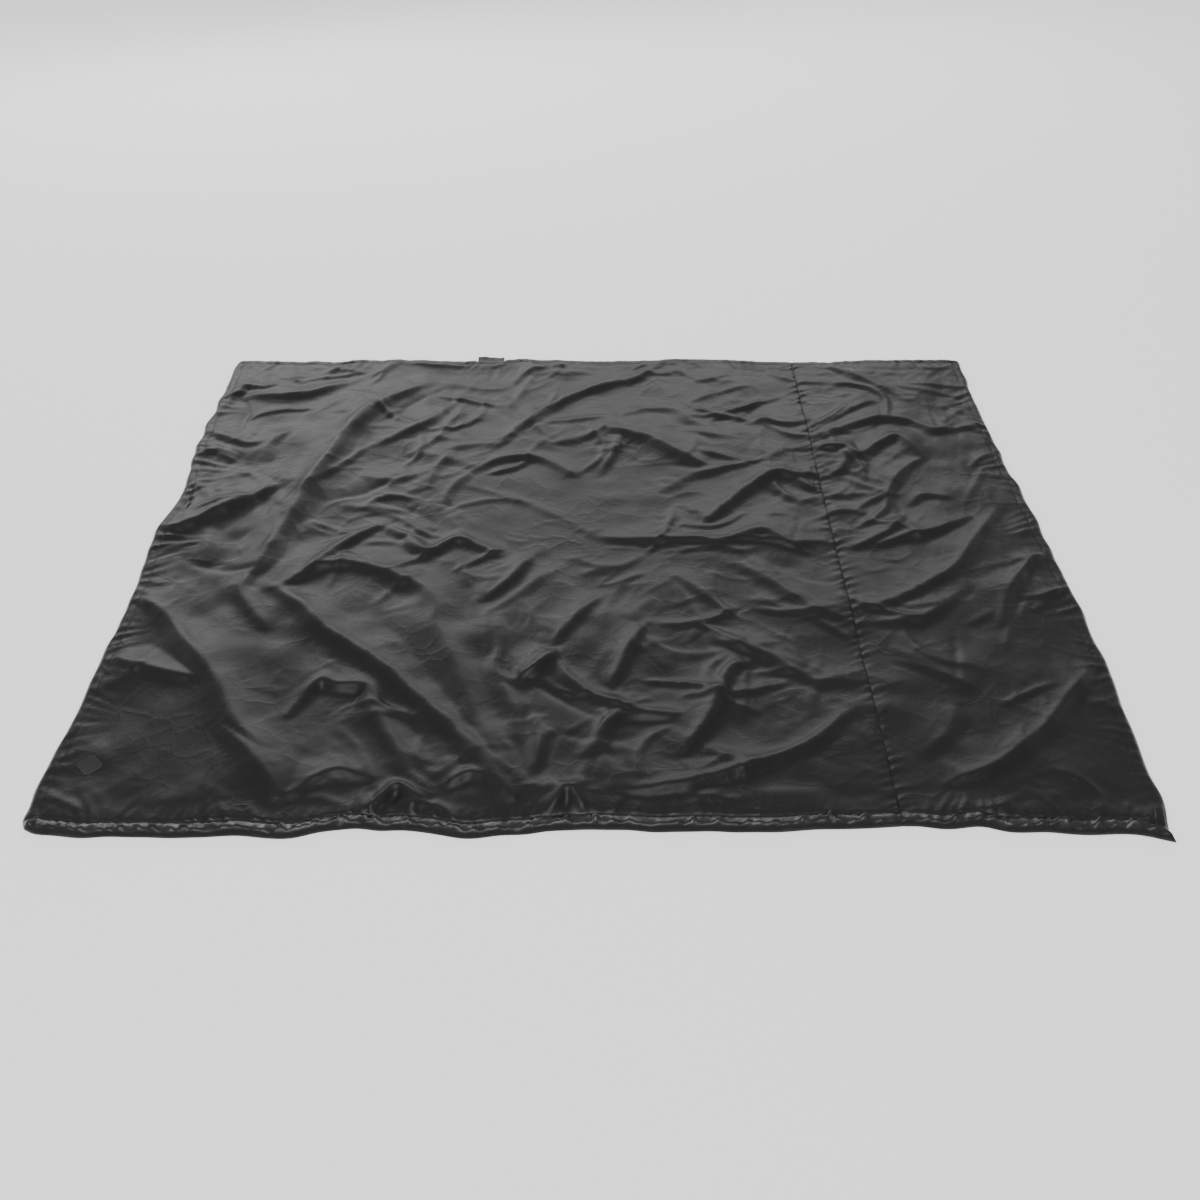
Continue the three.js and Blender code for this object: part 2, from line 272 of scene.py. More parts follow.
def smooth_route(points, steps=7):
    """A Catmull-Rom curve through the points of a fold."""
    p = np.array(points, float)
    p = np.vstack([2 * p[0] - p[1], p, 2 * p[-1] - p[-2]])
    t = (np.arange(steps) / steps)[:, None]
    out = []
    for a, b, c, d in zip(p[:-3], p[1:-2], p[2:-1], p[3:]):
        out.append(0.5 * (2 * b + (c - a) * t + (2 * a - 5 * b + 4 * c - d) * t**2
                          + (3 * b - a - 3 * c + d) * t**3))
    return np.vstack(out + [p[-2:-1]])


def fold_height(across, down, height, width, points, spread):
    """Height that one fold adds at each point of a grid."""
    route = smooth_route(points)
    reach = 3.2 * width * spread
    low, high = route.min(0) - reach, route.max(0) + reach
    j0, j1 = np.searchsorted(across[0], [low[0], high[0]])
    i0, i1 = np.searchsorted(down[:, 0], [low[1], high[1]])
    out = np.zeros_like(across)
    if j1 <= j0 or i1 <= i0:
        return out
    gx, gy = across[i0:i1, j0:j1], down[i0:i1, j0:j1]
    steps = np.diff(route, axis=0)
    lengths = np.hypot(steps[:, 0], steps[:, 1])
    along = np.concatenate([[0], np.cumsum(lengths)])
    nearest = np.full(gx.shape, 1e9)
    away_x, away_y, at = np.zeros(gx.shape), np.zeros(gx.shape), np.zeros(gx.shape)
    for start, step, length, run in zip(route[:-1], steps, lengths, along):
        rx, ry = gx - start[0], gy - start[1]
        t = np.clip((rx * step[0] + ry * step[1]) / length**2, 0, 1)
        ox, oy = rx - t * step[0], ry - t * step[1]
        squared = ox * ox + oy * oy
        nearer = squared < nearest
        nearest = np.where(nearer, squared, nearest)
        away_x, away_y = np.where(nearer, ox, away_x), np.where(nearer, oy, away_y)
        at = np.where(nearer, run + t * length, at)
    distance = np.sqrt(nearest) + 1e-6
    taper = np.sin(np.pi * np.clip(at / along[-1] * 0.96 + 0.02, 0, 1)) ** 0.5
    facing = (away_x * STEEP_SIDE[0] + away_y * STEEP_SIDE[1]) / distance
    behind = 0.5 - 0.5 * np.tanh(2.2 * facing)
    wide = width * (1 + (spread - 1) * behind) * (0.6 + 0.4 * taper)
    q = distance / wide
    profile = (1 - behind) / (1 + (q / 1.05) ** 2.4) ** 1.35 + behind * np.exp(-1.15 * q**1.2)
    out[i0:i1, j0:j1] = height * taper * profile
    return out


def soft_noise(downs, acrosses, cell, seed, octaves=2):
    """Smooth seeded noise over grid lines, with bumps about cell across."""
    random = np.random.default_rng(seed)
    out, share = np.zeros((len(downs), len(acrosses))), 1.0
    for _ in range(octaves):
        grid = random.standard_normal([int(size / cell) + 5 for size in (LENGTH, WIDTH)])
        for places in (downs, acrosses):
            place = np.asarray(places) / cell
            index = place.astype(int)
            f = place - index
            basis = ((1 - f) ** 3, 3 * f**3 - 6 * f**2 + 4, -3 * f**3 + 3 * f**2 + 3 * f + 1, f**3)
            grid = sum(grid[index + k] * basis[k][:, None] / 6 for k in range(4)).T
        out += share * grid
        share *= 0.5
        cell /= 2
    return out


def small_creases(seed, count, lengths=(0.05, 0.20), heights=(0.0010, 0.0045), widths=(0.006, 0.015)):
    """Short creases seeded over the sheet, which run with or across the large folds beside them."""
    random = np.random.default_rng(seed)
    middles, ways = [], []
    for _, _, points in FOLDS:
        route = smooth_route(points, 4)
        way = np.diff(route, axis=0)
        middles.append((route[1:] + route[:-1]) / 2)
        ways.append(np.arctan2(way[:, 1], way[:, 0]))
    middles, ways = np.concatenate(middles), np.concatenate(ways)
    bunches = random.random((count // CREASES_PER_BUNCH, 2)) * (WIDTH, LENGTH)
    out = []
    for _ in range(count):
        centre = random.random(2) * (WIDTH, LENGTH)
        if random.random() < BUNCHED_SHARE:
            centre = bunches[random.integers(len(bunches))] + random.normal(0, BUNCH_RADIUS, 2)
        near = np.exp(-((middles - centre) ** 2).sum(1) / 0.029) + 1e-6
        way = 0.5 * np.arctan2((near * np.sin(2 * ways)).sum(), (near * np.cos(2 * ways)).sum())
        way += random.normal(0, CREASE_STRAY)
        way += math.pi / 2 if random.random() < CROSSING_SHARE else 0
        length = random.uniform(*lengths)
        height = random.uniform(*heights) * (length / sum(lengths) * 2) ** 0.5
        width = random.uniform(*widths)
        bow = random.normal(0, 0.12) * length
        run = np.array([math.cos(way), math.sin(way)])
        side = np.array([-run[1], run[0]])
        points = [centre + run * length * t + side * bow * (1 - 4 * t * t) for t in (-0.5, -0.2, 0.15, 0.5)]
        out.append((height if random.random() < RAISED_SHARE else -0.6 * height, width, points))
    return out


def crease_share(across, down):
    """How much of the small creases shows: less in the calm places."""
    share = np.ones_like(across)
    for x, y, radius in CALM_PLACES:
        share *= 1 - 0.85 * np.exp(-(((across - x) ** 2 + (down - y) ** 2) / radius**2) ** 1.5)
    return share


@lru_cache(maxsize=1)
def pressed_creases():
    """Short sharp creases that folding the quilt away has pressed into the thin cloth."""
    return small_creases(17, 1000, (0.02, 0.11), (0.0003, 0.0013), (0.003, 0.006))


# ---------------------------------------------------------------- settling of the cloth

def apart(shape, rows, columns):
    """Index pairs of the grid points that many rows and columns apart, in sets that share none."""
    def strided(count, gap):
        period = 2 * gap
        for first in range(period):
            n = (count - gap - 1 - first) // period + 1
            if n > 0:
                last = first + period * (n - 1) + 1
                yield slice(first, last, period), slice(first + gap, last + gap, period)

    everything = slice(None)
    if rows == 0:
        return [((everything, a), (everything, b)) for a, b in strided(shape[1], columns)]
    if columns == 0:
        return [((a, everything), (b, everything)) for a, b in strided(shape[0], rows)]
    one, other = slice(0, shape[1] - 1), slice(1, shape[1])
    if columns < 0:
        one, other = other, one
    return [((a, one), (b, other)) for a, b in strided(shape[0], 1)]


def settle(points, home, floor, hold, slack, steps):
    """Lets the cloth settle under its weight, held softly to its home shape and stopped by the floor."""
    single = np.float32
    rest_shape = points.copy()
    points = points.astype(single)
    home, floor, hold = home.astype(single), floor.astype(single), hold[..., None].astype(single)
    links = []
    for rows, columns in ((0, 1), (1, 0), (1, 1), (1, -1), (0, 2), (2, 0)):
        for a, b in apart(points.shape[:2], rows, columns):
            rest = np.linalg.norm(rest_shape[b] - rest_shape[a], axis=-1)
            if rows == 2 or columns == 2:
                middle = tuple(
                    slice(i.start + k // 2, i.stop + k // 2, i.step) if k else i
                    for i, k in zip(a, (rows, columns))
                )
                rest = np.linalg.norm(rest_shape[middle] - rest_shape[a], axis=-1)
                rest += np.linalg.norm(rest_shape[b] - rest_shape[middle], axis=-1)
            rest *= 1 + (slack[a] + slack[b]) / 2
            stiffness = 1.0 if rows + abs(columns) == 1 else 0.9
            links.append((a, b, rest.astype(single), single(stiffness / 2)))
    before = points.copy()
    for _ in range(steps):
        speed = (points - before) * single(DAMPING)
        before = points.copy()
        points += speed
        points[..., 2] -= single(FALL)
        for _ in range(SETTLE_PASSES):
            for a, b, rest, half in links:
                gap = points[b] - points[a]
                length = np.sqrt(np.einsum("ijk,ijk->ij", gap, gap)) + single(1e-9)
                gap *= ((length - rest) / length * half)[..., None]
                points[a] += gap
                points[b] -= gap
            points += (home - points) * hold
            resting = (points[..., 2] < floor)[..., None]
            points[..., 2] = np.clip(points[..., 2], floor, TOP_LIMIT)
            flat = points[..., :2]
            points[..., :2] = np.where(resting, (1 - GRIP) * flat + GRIP * before[..., :2], flat)
    return points.astype(float)


def cubic_weights(places, count):
    """Rows of Catmull-Rom weights that read a line of count values at fractional places."""
    index = np.clip(places.astype(int), 0, count - 2)
    f = places - index
    parts = (
        -0.5 * f + f**2 - 0.5 * f**3,
        1 - 2.5 * f**2 + 1.5 * f**3,
        0.5 * f + 2 * f**2 - 1.5 * f**3,
        -0.5 * f**2 + 0.5 * f**3,
    )
    weights = np.zeros((len(places), count))
    rows = np.arange(len(places))
    for k, part in enumerate(parts):
        np.add.at(weights, (rows, np.clip(index + k - 1, 0, count - 1)), part)
    return weights


def resample(points, downs, acrosses):
    """The settled grid read at other lines, given in sheet coordinates."""
    rows = cubic_weights(downs / LENGTH * (points.shape[0] - 1), points.shape[0])
    columns = cubic_weights(acrosses / WIDTH * (points.shape[1] - 1), points.shape[1])
    return np.einsum("ia,abk,jb->ijk", rows, points, columns, optimize=True)


def rim_height(inset):
    """The cover's height over the plain batt at this distance in from an edge."""
    return np.interp(inset, RIM_INSETS, RIM_HEIGHTS)


def softened(heights, passes):
    """Heights averaged with those next to them, a number of times over."""
    soft = heights
    for _ in range(passes):
        for axis in (0, 1):
            padded = np.pad(soft, [(1, 1) if axis == k else (0, 0) for k in (0, 1)], mode="edge")
            ends = [np.take(padded, np.arange(k, k + soft.shape[axis]), axis) for k in range(3)]
            soft = (ends[0] + 2 * ends[1] + ends[2]) / 4
    return soft


def large_folds(across, down):
    """The height of all large folds together. Where two meet, the lower one adds a little."""
    folds = np.zeros_like(across)
    for top, width, route in FOLDS:
        middle_down = route[len(route) // 2][1]
        nearness = min(middle_down / FULL_FOLDS_FROM, 1)
        top *= FOLD_SHARE * (REAR_FOLD_SHARE + (1 - REAR_FOLD_SHARE) * nearness)
        height = fold_height(across, down, top, width * FOLD_SHARPNESS, route, FOLD_SPREAD)
        folds = np.maximum(folds, height) + 0.3 * np.minimum(folds, height)
    return folds


def settled_cover():
    """The cover after its folds and creases have settled, as points over an even grid."""
    creases = small_creases(7, CREASE_COUNT)
    too_narrow = (math.inf, 0.009, 0)  # for each grid: creases up to this width are left out
    points = None
    for level, (spacing, steps, slack, patch) in enumerate(SETTLE_LEVELS):
        acrosses = np.linspace(0, WIDTH, round(WIDTH / spacing) + 1)
        downs = np.linspace(0, LENGTH, round(LENGTH / spacing) + 1)
        across, down = np.meshgrid(acrosses, downs)
        folds = large_folds(across, down)
        small = np.zeros_like(across)
        for crease in creases:
            if crease[1] > too_narrow[level]:
                small += fold_height(across, down, *crease, spread=1.7)
        folds += small * crease_share(across, down)
        edge = np.minimum.reduce([across, WIDTH - across, down, LENGTH - down])
        from_seam = np.abs(across - SEAM)
        base = rim_height(edge)
        swell = WIDE_SWELL[0] * np.clip(soft_noise(downs, acrosses, WIDE_SWELL[1], 3), -1.2, 2)
        swell += NARROW_SWELL[0] * soft_noise(downs, acrosses, NARROW_SWELL[1], 4)
        swell *= np.clip(edge / 0.08, 0, 1)
        folds *= np.clip(edge / 0.045, 0, 1) ** 0.7 * np.clip(from_seam / 0.02, 0.7, 1)
        home = np.stack([LEFT + across, REAR - down, np.minimum(base + folds + swell, TOP_LIMIT)], -1)
        hold = 0.004 + 0.3 * np.exp(-((edge / 0.022) ** 2)) + 0.3 * np.exp(-((from_seam / 0.008) ** 2))
        loose = soft_noise(downs, acrosses, patch, 5 + level)
        loose = slack * np.clip(loose / loose.std() - 0.3, 0, 1)
        points = home if points is None else resample(points, downs, acrosses)
        points = settle(points, home, base - 0.004, hold, loose, steps)
    # Regular ripples are taken out, and all settling close to the hems.
    settling = points[..., 2] - home[..., 2]
    slow = softened(settling, 24)
    kept = (0.3 * crease_share(across, down) * (settling - slow) + slow) * np.clip(edge / 0.09, 0.15, 1)
    heights = home[..., 2] + kept
    points[..., 2] = np.minimum(heights + 0.9 * (heights - softened(heights, 4)), TOP_LIMIT)
    return points


# ---------------------------------------------------------------- edges, seam and gathers

def outline_shift(across, down):
    """How far the outline's drift and rounded corners move each point, along X and Y."""
    def drift(name, place):
        at, distance = np.array(EDGE_DRIFT[name]).T
        fine = np.linspace(0, WIDTH, 400)
        kernel = np.hanning(17) / np.hanning(17).sum()
        smooth = np.convolve(np.pad(np.interp(fine, at, distance), 8, mode="edge"), kernel, "valid")
        scallops = soft_noise(fine[:1], fine, SCALLOP_LENGTH, len(name), 1)[0]
        return np.interp(place, fine, smooth + SCALLOP_DEPTH * scallops)

    def fade(inset):
        return np.exp(-((inset / DRIFT_REACH) ** 2))

    beside_label = 1 - np.exp(-(((across - LABEL_AT) / LABEL_CALM) ** 4))
    dx = drift("right", down) * fade(WIDTH - across)
    dx -= drift("left", down) * fade(across)
    dy = drift("rear", across) * fade(down) * beside_label
    dy -= drift("front", across) * fade(LENGTH - down)
    for from_x, from_y, radius, turn_x, turn_y in (
        (across, LENGTH - down, FRONT_LEFT_RADIUS, 1, 1),
        (across, down, REAR_LEFT_RADIUS, 1, -1),
        (WIDTH - across, down, REAR_RIGHT_RADIUS, -1, -1),
    ):
        a, b = np.clip(radius - from_x, 0, None), np.clip(radius - from_y, 0, None)
        pull = 1 - np.maximum(a, b) / (np.hypot(a, b) + 1e-9)
        dx += turn_x * a * pull
        dy += turn_y * b * pull
    return dx, dy


def gather_pattern(seed, length, spacing):
    """Irregular tucks along a row of stitching: a function of the place along it."""
    random = np.random.default_rng(seed)
    places = np.cumsum(random.uniform(0.55, 1.5, int(length / spacing * 1.3)) * spacing)
    depths = random.uniform(0.25, 1.0, len(places))
    widths = random.uniform(0.24, 0.40, len(places)) * spacing

    def pattern(place):
        near = np.clip(np.searchsorted(places, place), 1, len(places) - 1)
        out = np.zeros_like(place)
        for index in (near - 1, near):
            out += depths[index] * np.exp(-(((place - places[index]) / widths[index]) ** 2))
        return out

    return pattern


# Left and right of the join.
SEAM_TUCKS = [gather_pattern(21, LENGTH, 0.017), gather_pattern(22, LENGTH, 0.019)]

ROLL_INSET = 0.0105  # the rolled rim's place and width
ROLL_WIDTH = 0.0045
DIP_WIDTH = 0.0035
HEM_SPACINGS = (0.026, 0.024, 0.024, 0.013)  # between tucks: left, right, rear and front
HEM_TUCKS = [gather_pattern(31 + edge, 2, spacing) for edge, spacing in enumerate(HEM_SPACINGS)]
HEM_BUNCHES = [gather_pattern(51 + edge, 2, 0.16) for edge in range(4)]
HEM_WANDER = [gather_pattern(41 + edge, 2, 0.022) for edge in range(4)]
# Height of the tucks and their share between bunches, height of the rolled rim and of the dip at the
# stitching, and how far the rim strays: left, right, rear and front.
HEM_SHAPES = (
    (0.0048, 0.60, 0.0010, 0.0007, 0.008),
    (0.0046, 0.50, 0.0010, 0.0007, 0.008),
    (0.0040, 0.45, 0.0012, 0.0008, 0.008),
    (0.0052, 0.80, 0.0060, 0.0026, 0.013),
)


def hem_relief(insets, places, fine):
    """Tucks, rolled rim and dip at the stitching, along all four hems."""
    relief = np.zeros_like(fine)
    for edge, (inward, place, pattern) in enumerate(zip(insets, places, HEM_TUCKS)):
        strength, base, roll, dip, stray = HEM_SHAPES[edge]
        off = inward - HEM
        bunched = HEM_BUNCHES[edge](place)
        slant = place + 0.6 * off * np.sin(place * 23)
        fan = np.where(off > 0, np.exp(-off / (0.014 + 0.030 * bunched)), np.exp(off / 0.012))
        fan *= 1 - 0.6 * np.exp(-np.abs(off) / 0.002)
        relief += strength * (base + 1.3 * bunched) * (pattern(slant) - 0.25) * fan
        wander = HEM_WANDER[edge](place)
        strayed = stray * (wander - 0.4) + 0.35 * stray * fine
        rolled = (inward - ROLL_INSET - strayed) / ROLL_WIDTH
        relief += roll * (0.4 + wander) * (1 + 0.5 * fine) * np.exp(-rolled * rolled)
        relief -= dip * (0.6 + pattern(place)) * np.exp(-((off / DIP_WIDTH) ** 2))
    return relief


def seam_relief(across, down, inset):
    """The groove of the join seam, and the tucks that slant away from it on both sides."""
    off = np.abs(across - SEAM)
    slant = down + off * np.where(across > SEAM, 0.45, -0.5)
    tuck = np.where(across > SEAM, SEAM_TUCKS[1](slant), SEAM_TUCKS[0](slant))
    fan = np.exp(-off / SEAM_TUCK_REACH) * (0.35 + 0.65 * np.clip(off / 0.003, 0, 1))
    tucks = SEAM_TUCK_HEIGHT * (tuck - 0.3) * fan * np.clip(inset / 0.03, 0, 1)
    return tucks - SEAM_DIP * np.exp(-off / SEAM_DIP_REACH) * np.clip(inset / 0.02, 0.3, 1)


def label_room(across, down):
    """How high the cover may stand: the hem is pinched flat where the label folds back over it."""
    beside = np.clip(np.abs(across - LABEL_AT) - LABEL_HALF, 0, None)
    return 0.0021 + 0.75 * np.clip(down - 0.0015, 0, None) + 0.6 * beside


def finished_cover(settled, downs, acrosses):
    """The cover's points on any lines, with its rounded edge, gathers, seam and outline."""
    points = resample(settled, downs, acrosses)
    across, down = np.meshgrid(acrosses, downs)
    insets = np.stack([across, WIDTH - across, down, LENGTH - down])
    places = np.stack([down, down, across, across])
    inset = insets.min(0)
    share = np.clip((inset - 0.006) / 0.034, 0, 1)
    share *= share * (3 - 2 * share)
    along = soft_noise(downs, acrosses, 0.045, 11)
    fine = soft_noise(downs, acrosses, 0.012, 12, 1)
    fold = np.clip(points[..., 2] - rim_height(inset), -0.002, 0.02)
    rim = rim_height(inset) * (1 + 0.10 * along) + fold * np.clip(inset / 0.012, 0, 0.7)
    pressed = np.zeros_like(across)
    for crease in pressed_creases():
        pressed += fold_height(across, down, *crease, spread=1.5)
    pressed *= crease_share(across, down)
    z = rim * (1 - share) + (points[..., 2] + pressed) * share
    z += hem_relief(insets, places, fine) * np.clip(inset / 0.008, 0, 1)
    z += seam_relief(across, down, inset)
    points[..., 2] = np.minimum(np.clip(z, LOWEST_COVER, TOP_LIMIT), label_room(across, down))
    dx, dy = outline_shift(across, down)
    points[..., 0] += dx
    points[..., 1] += dy
    return points


def lining_height(across, down):
    """The lining's height: flat on the ground, with creases pressed up and a groove at each seam."""
    inset = np.minimum.reduce([across, WIDTH - across, down, LENGTH - down])
    seam_off = np.abs(across - SEAM)
    groove = LINING_GROOVE * np.exp(-(((inset - HEM) / 0.003) ** 2))
    groove += LINING_GROOVE * np.exp(-((seam_off / 0.004) ** 2))
    creases = np.zeros_like(across)
    for height, width, points in small_creases(13, 260):
        creases += fold_height(across, down, 0.7 * abs(height), 0.8 * width, points, spread=1.2)
    creases = LINING_CREASE_LIMIT * np.tanh(creases / LINING_CREASE_LIMIT)
    fade = np.clip(np.minimum(inset, seam_off + 0.02) / 0.05, 0, 1)
    return LINING_GAP + groove + creases * fade


# ---------------------------------------------------------------- meshes

def mesh_object(name, points, faces, material, uvs=None):
    """A smooth-shaded object from points and quads or triangles, with one UV for each point."""
    mesh = bpy.data.meshes.new(name)
    mesh.from_pydata(points.tolist(), [], faces.tolist())
    mesh.polygons.foreach_set("use_smooth", np.ones(len(mesh.polygons), bool))
    if uvs is not None:
        layer = mesh.uv_layers.new(name="cloth")
        corners = np.zeros(len(mesh.loops), np.int32)
        mesh.loops.foreach_get("vertex_index", corners)
        layer.data.foreach_set("uv", uvs[corners].astype(np.float32).ravel())
    mesh.materials.append(material)
    mesh.validate()
    mesh.update()
    obj = bpy.data.objects.new(name, mesh)
    bpy.context.scene.collection.objects.link(obj)
    return obj


def grid_faces(rows, columns, upwards=True):
    """Quads of a grid whose rows run towards the front and whose columns run to the right."""
    index = np.arange(rows * columns).reshape(rows, columns)
    quads = np.stack([index[1:, :-1], index[1:, 1:], index[:-1, 1:], index[:-1, :-1]], -1).reshape(-1, 4)
    return quads if upwards else quads[:, ::-1]


def lines_between(start, end, start_near, end_near, spacing):
    """Grid lines from start to end: these distances in from each end, and even ones between."""
    first, last = start + start_near[-1], end - end_near[-1]
    middle = np.linspace(first, last, round((last - first) / spacing) + 1)[1:-1]
    return np.concatenate([start + np.array(start_near), middle, end - np.array(end_near)[::-1]])


# Grid lines in from an edge. The cover turns under at the outer edges, on its first lines.
TURNED_LINES = ((0.0035, 0.0010), (0.0012, 0.0012), (0.0003, 0.0019))
RIM_LINES = (0, 0.001, 0.003, 0.006, 0.010, 0.0145, 0.019, 0.0225, HEM, 0.0275, 0.031, 0.0355, 0.040)
EDGE_LINES = tuple(inset for inset, _ in TURNED_LINES) + RIM_LINES
SEAM_LINES = (0.00015, 0.0014, 0.003, 0.0048, 0.007, 0.010, 0.0135, 0.0175, 0.022)
LINING_EDGE_LINES = (0.0010, 0.003, 0.007, 0.012, 0.018, 0.022, HEM, 0.028, 0.033, 0.041)
LINING_SEAM_LINES = (0.0004, 0.002, 0.005, 0.009, 0.014)
BATT_EDGE_LINES = (0.009, 0.014, 0.020, HEM, 0.031, 0.040)
BATT_SEAM_LINES = (0.009, 0.015, 0.022)
PANELS = {
    "main": (0, SEAM, EDGE_LINES, SEAM_LINES),
    "side": (SEAM, WIDTH, SEAM_LINES, EDGE_LINES),
}
FOLD_START, FOLD_END = (JOIN - 0.05, 0, 0), (JOIN + 0.05, 0, 0)


def bend_with_join(obj):
    """The piece crosses the join; its transform is baked into its mesh."""
    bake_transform(obj)
    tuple(FOLD_START)
    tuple(FOLD_END)


# ---------------------------------------------------------------- shader node groups

def new_group(name, inputs, outputs):
    """A shader node group with named sockets: its tree, and its input and output nodes."""
    tree = bpy.data.node_groups.new(name, "ShaderNodeTree")
    for socket, kind, default in inputs:
        made = tree.interface.new_socket(socket, in_out="INPUT", socket_type=kind)
        if default is not None:
            made.default_value = default
    for socket, kind in outputs:
        tree.interface.new_socket(socket, in_out="OUTPUT", socket_type=kind)
    return tree, tree.nodes.new("NodeGroupInput"), tree.nodes.new("NodeGroupOutput")


def add_math(tree, operation, a, b=None):
    """A math node fed by sockets or numbers; its output."""
    node = tree.nodes.new("ShaderNodeMath")
    node.operation = operation
    for socket, value in zip(node.inputs, (a, b)):
        if isinstance(value, (int, float)):
            socket.default_value = value
        elif value is not None:
            tree.links.new(value, socket)
    return node.outputs[0]


def add_noise(tree, vector, scale, detail=2.0, roughness=0.5):
    """A noise texture node; its value output."""
    node = tree.nodes.new("ShaderNodeTexNoise")
    node.inputs["Detail"].default_value = detail
    node.inputs["Roughness"].default_value = roughness
    if isinstance(scale, (int, float)):
        node.inputs["Scale"].default_value = scale
    else:
        tree.links.new(scale, node.inputs["Scale"])
    tree.links.new(vector, node.inputs["Vector"])
    return node.outputs[0]


def add_range(tree, value, low, high, start=0.0, end=1.0):
    """Goes from low to high while the value goes from start to end."""
    node = tree.nodes.new("ShaderNodeMapRange")
    for socket, number in (("From Min", start), ("From Max", end), ("To Min", low), ("To Max", high)):
        node.inputs[socket].default_value = number
    tree.links.new(value, node.inputs["Value"])
    return node.outputs[0]


def weave_group():
    """Plain weave: fine threads both ways, with some threads a little thicker than others."""
    tree, given, made = new_group(
        "Plain Weave",
        (("Cloth", "NodeSocketVector", None), ("Threads per Metre", "NodeSocketFloat", 1500.0),
         ("Slub", "NodeSocketFloat", 0.5)),
        (("Height", "NodeSocketFloat"), ("Shade", "NodeSocketFloat")),
    )
    split = tree.nodes.new("ShaderNodeSeparateXYZ")
    tree.links.new(given.outputs["Cloth"], split.inputs[0])
    heights, shades = [], []
    for axis, stretch in ((0, (1.0, 0.02, 1.0)), (1, (0.02, 1.0, 1.0))):
        turns = add_math(tree, "MULTIPLY", split.outputs[axis], given.outputs["Threads per Metre"])
        heights.append(add_math(tree, "SINE", add_math(tree, "MULTIPLY", turns, math.pi)))
        mapping = tree.nodes.new("ShaderNodeMapping")
        mapping.inputs["Scale"].default_value = stretch
        tree.links.new(given.outputs["Cloth"], mapping.inputs["Vector"])
        shades.append(add_noise(tree, mapping.outputs[0], 420.0, 1.0))
    crossing = add_math(tree, "MULTIPLY", heights[0], heights[1])
    slub = add_math(tree, "MULTIPLY", add_math(tree, "ADD", shades[0], shades[1]), given.outputs["Slub"])
    tree.links.new(add_math(tree, "ADD", crossing, slub), made.inputs["Height"])
    tree.links.new(slub, made.inputs["Shade"])
    return tree


def crinkle_group():
    """Fine crushed creases of thin coated cloth, and the rubbed tone along them."""
    tree, given, made = new_group(
        "Crushed Creases",
        (("Cloth", "NodeSocketVector", None), ("Creases per Metre", "NodeSocketFloat", 16.0)),
        (("Height", "NodeSocketFloat"), ("Rub", "NodeSocketFloat")),
    )
    bend = tree.nodes.new("ShaderNodeTexNoise")
    bend.inputs["Scale"].default_value = 9.0
    tree.links.new(given.outputs["Cloth"], bend.inputs["Vector"])
    shift = tree.nodes.new("ShaderNodeVectorMath")
    shift.operation = "SCALE"
    shift.inputs["Scale"].default_value = 0.06
    tree.links.new(bend.outputs["Color"], shift.inputs[0])
    moved = tree.nodes.new("ShaderNodeVectorMath")
    tree.links.new(given.outputs["Cloth"], moved.inputs[0])
    tree.links.new(shift.outputs[0], moved.inputs[1])
    ridges = []
    for factor in (1.0, 2.3, 5.1):
        patches = add_noise(tree, given.outputs["Cloth"], 5.0 + 1.3 * factor, 3.0)
        cells = tree.nodes.new("ShaderNodeTexVoronoi")
        cells.feature = "DISTANCE_TO_EDGE"
        scale = add_math(tree, "MULTIPLY", given.outputs["Creases per Metre"], factor)
        tree.links.new(scale, cells.inputs["Scale"])
        tree.links.new(moved.outputs[0], cells.inputs["Vector"])
        near = add_math(tree, "EXPONENT", add_math(tree, "MULTIPLY", cells.outputs["Distance"], -9.0))
        busy = add_range(tree, patches, -0.9 / factor, 1.5 / factor)
        ridges.append(add_math(tree, "MULTIPLY", near, add_math(tree, "MAXIMUM", busy, 0.0)))
    ridge = add_math(tree, "ADD", add_math(tree, "ADD", ridges[0], ridges[1]), ridges[2])
    tree.links.new(ridge, made.inputs["Height"])
    tree.links.new(add_math(tree, "MULTIPLY", ridge, patches), made.inputs["Rub"])
    return tree


def fibre_group():
    """Loose fibre or spun yarn: a fine uneven surface and its uneven tone."""
    tree, given, made = new_group(
        "Spun Fibre",
        (("Place", "NodeSocketVector", None), ("Fineness", "NodeSocketFloat", 900.0)),
        (("Height", "NodeSocketFloat"), ("Tone", "NodeSocketFloat")),
    )
    place = given.outputs["Place"]
    fibres = add_noise(tree, place, given.outputs["Fineness"], 4.0, 0.65)
    tree.links.new(fibres, made.inputs["Height"])
    tree.links.new(add_noise(tree, place, 60.0, 3.0), made.inputs["Tone"])
    return tree


def shared_group(name, make):
    """The node group of that name, made the first time that it is asked for."""
    return bpy.data.node_groups.get(name) or make()


# ---------------------------------------------------------------- materials

def new_material(name, colour, **sockets):
    """A material with a Principled BSDF, and plain values on the sockets named."""
    material = bpy.data.materials.new(name)
    material.use_nodes = True
    material.diffuse_color = (*colour, 1)
    shader = material.node_tree.nodes["Principled BSDF"]
    shader.inputs["Base Color"].default_value = (*colour, 1)
    for socket, value in sockets.items():
        shader.inputs[socket.replace("_", " ")].default_value = value
    return material, material.node_tree, shader


def add_group(tree, group, vector, **values):
    """A node group placed in a material, with its own values."""
    node = tree.nodes.new("ShaderNodeGroup")
    node.node_tree = group
    tree.links.new(vector, node.inputs[0])
    for socket, value in values.items():
        node.inputs[socket.replace("_", " ")].default_value = value
    return node


def add_cloth_place(tree):
    """Where a point lies on the flat cloth, in metres."""
    node = tree.nodes.new("ShaderNodeUVMap")
    node.uv_map = "cloth"
    return node.outputs[0]


def add_fibre(tree, fineness):
    """The fibre group placed in a material, by the piece's own coordinates."""
    coordinates = tree.nodes.new("ShaderNodeTexCoord")
    group = shared_group("Spun Fibre", fibre_group)
    return add_group(tree, group, coordinates.outputs["Object"], Fineness=fineness)


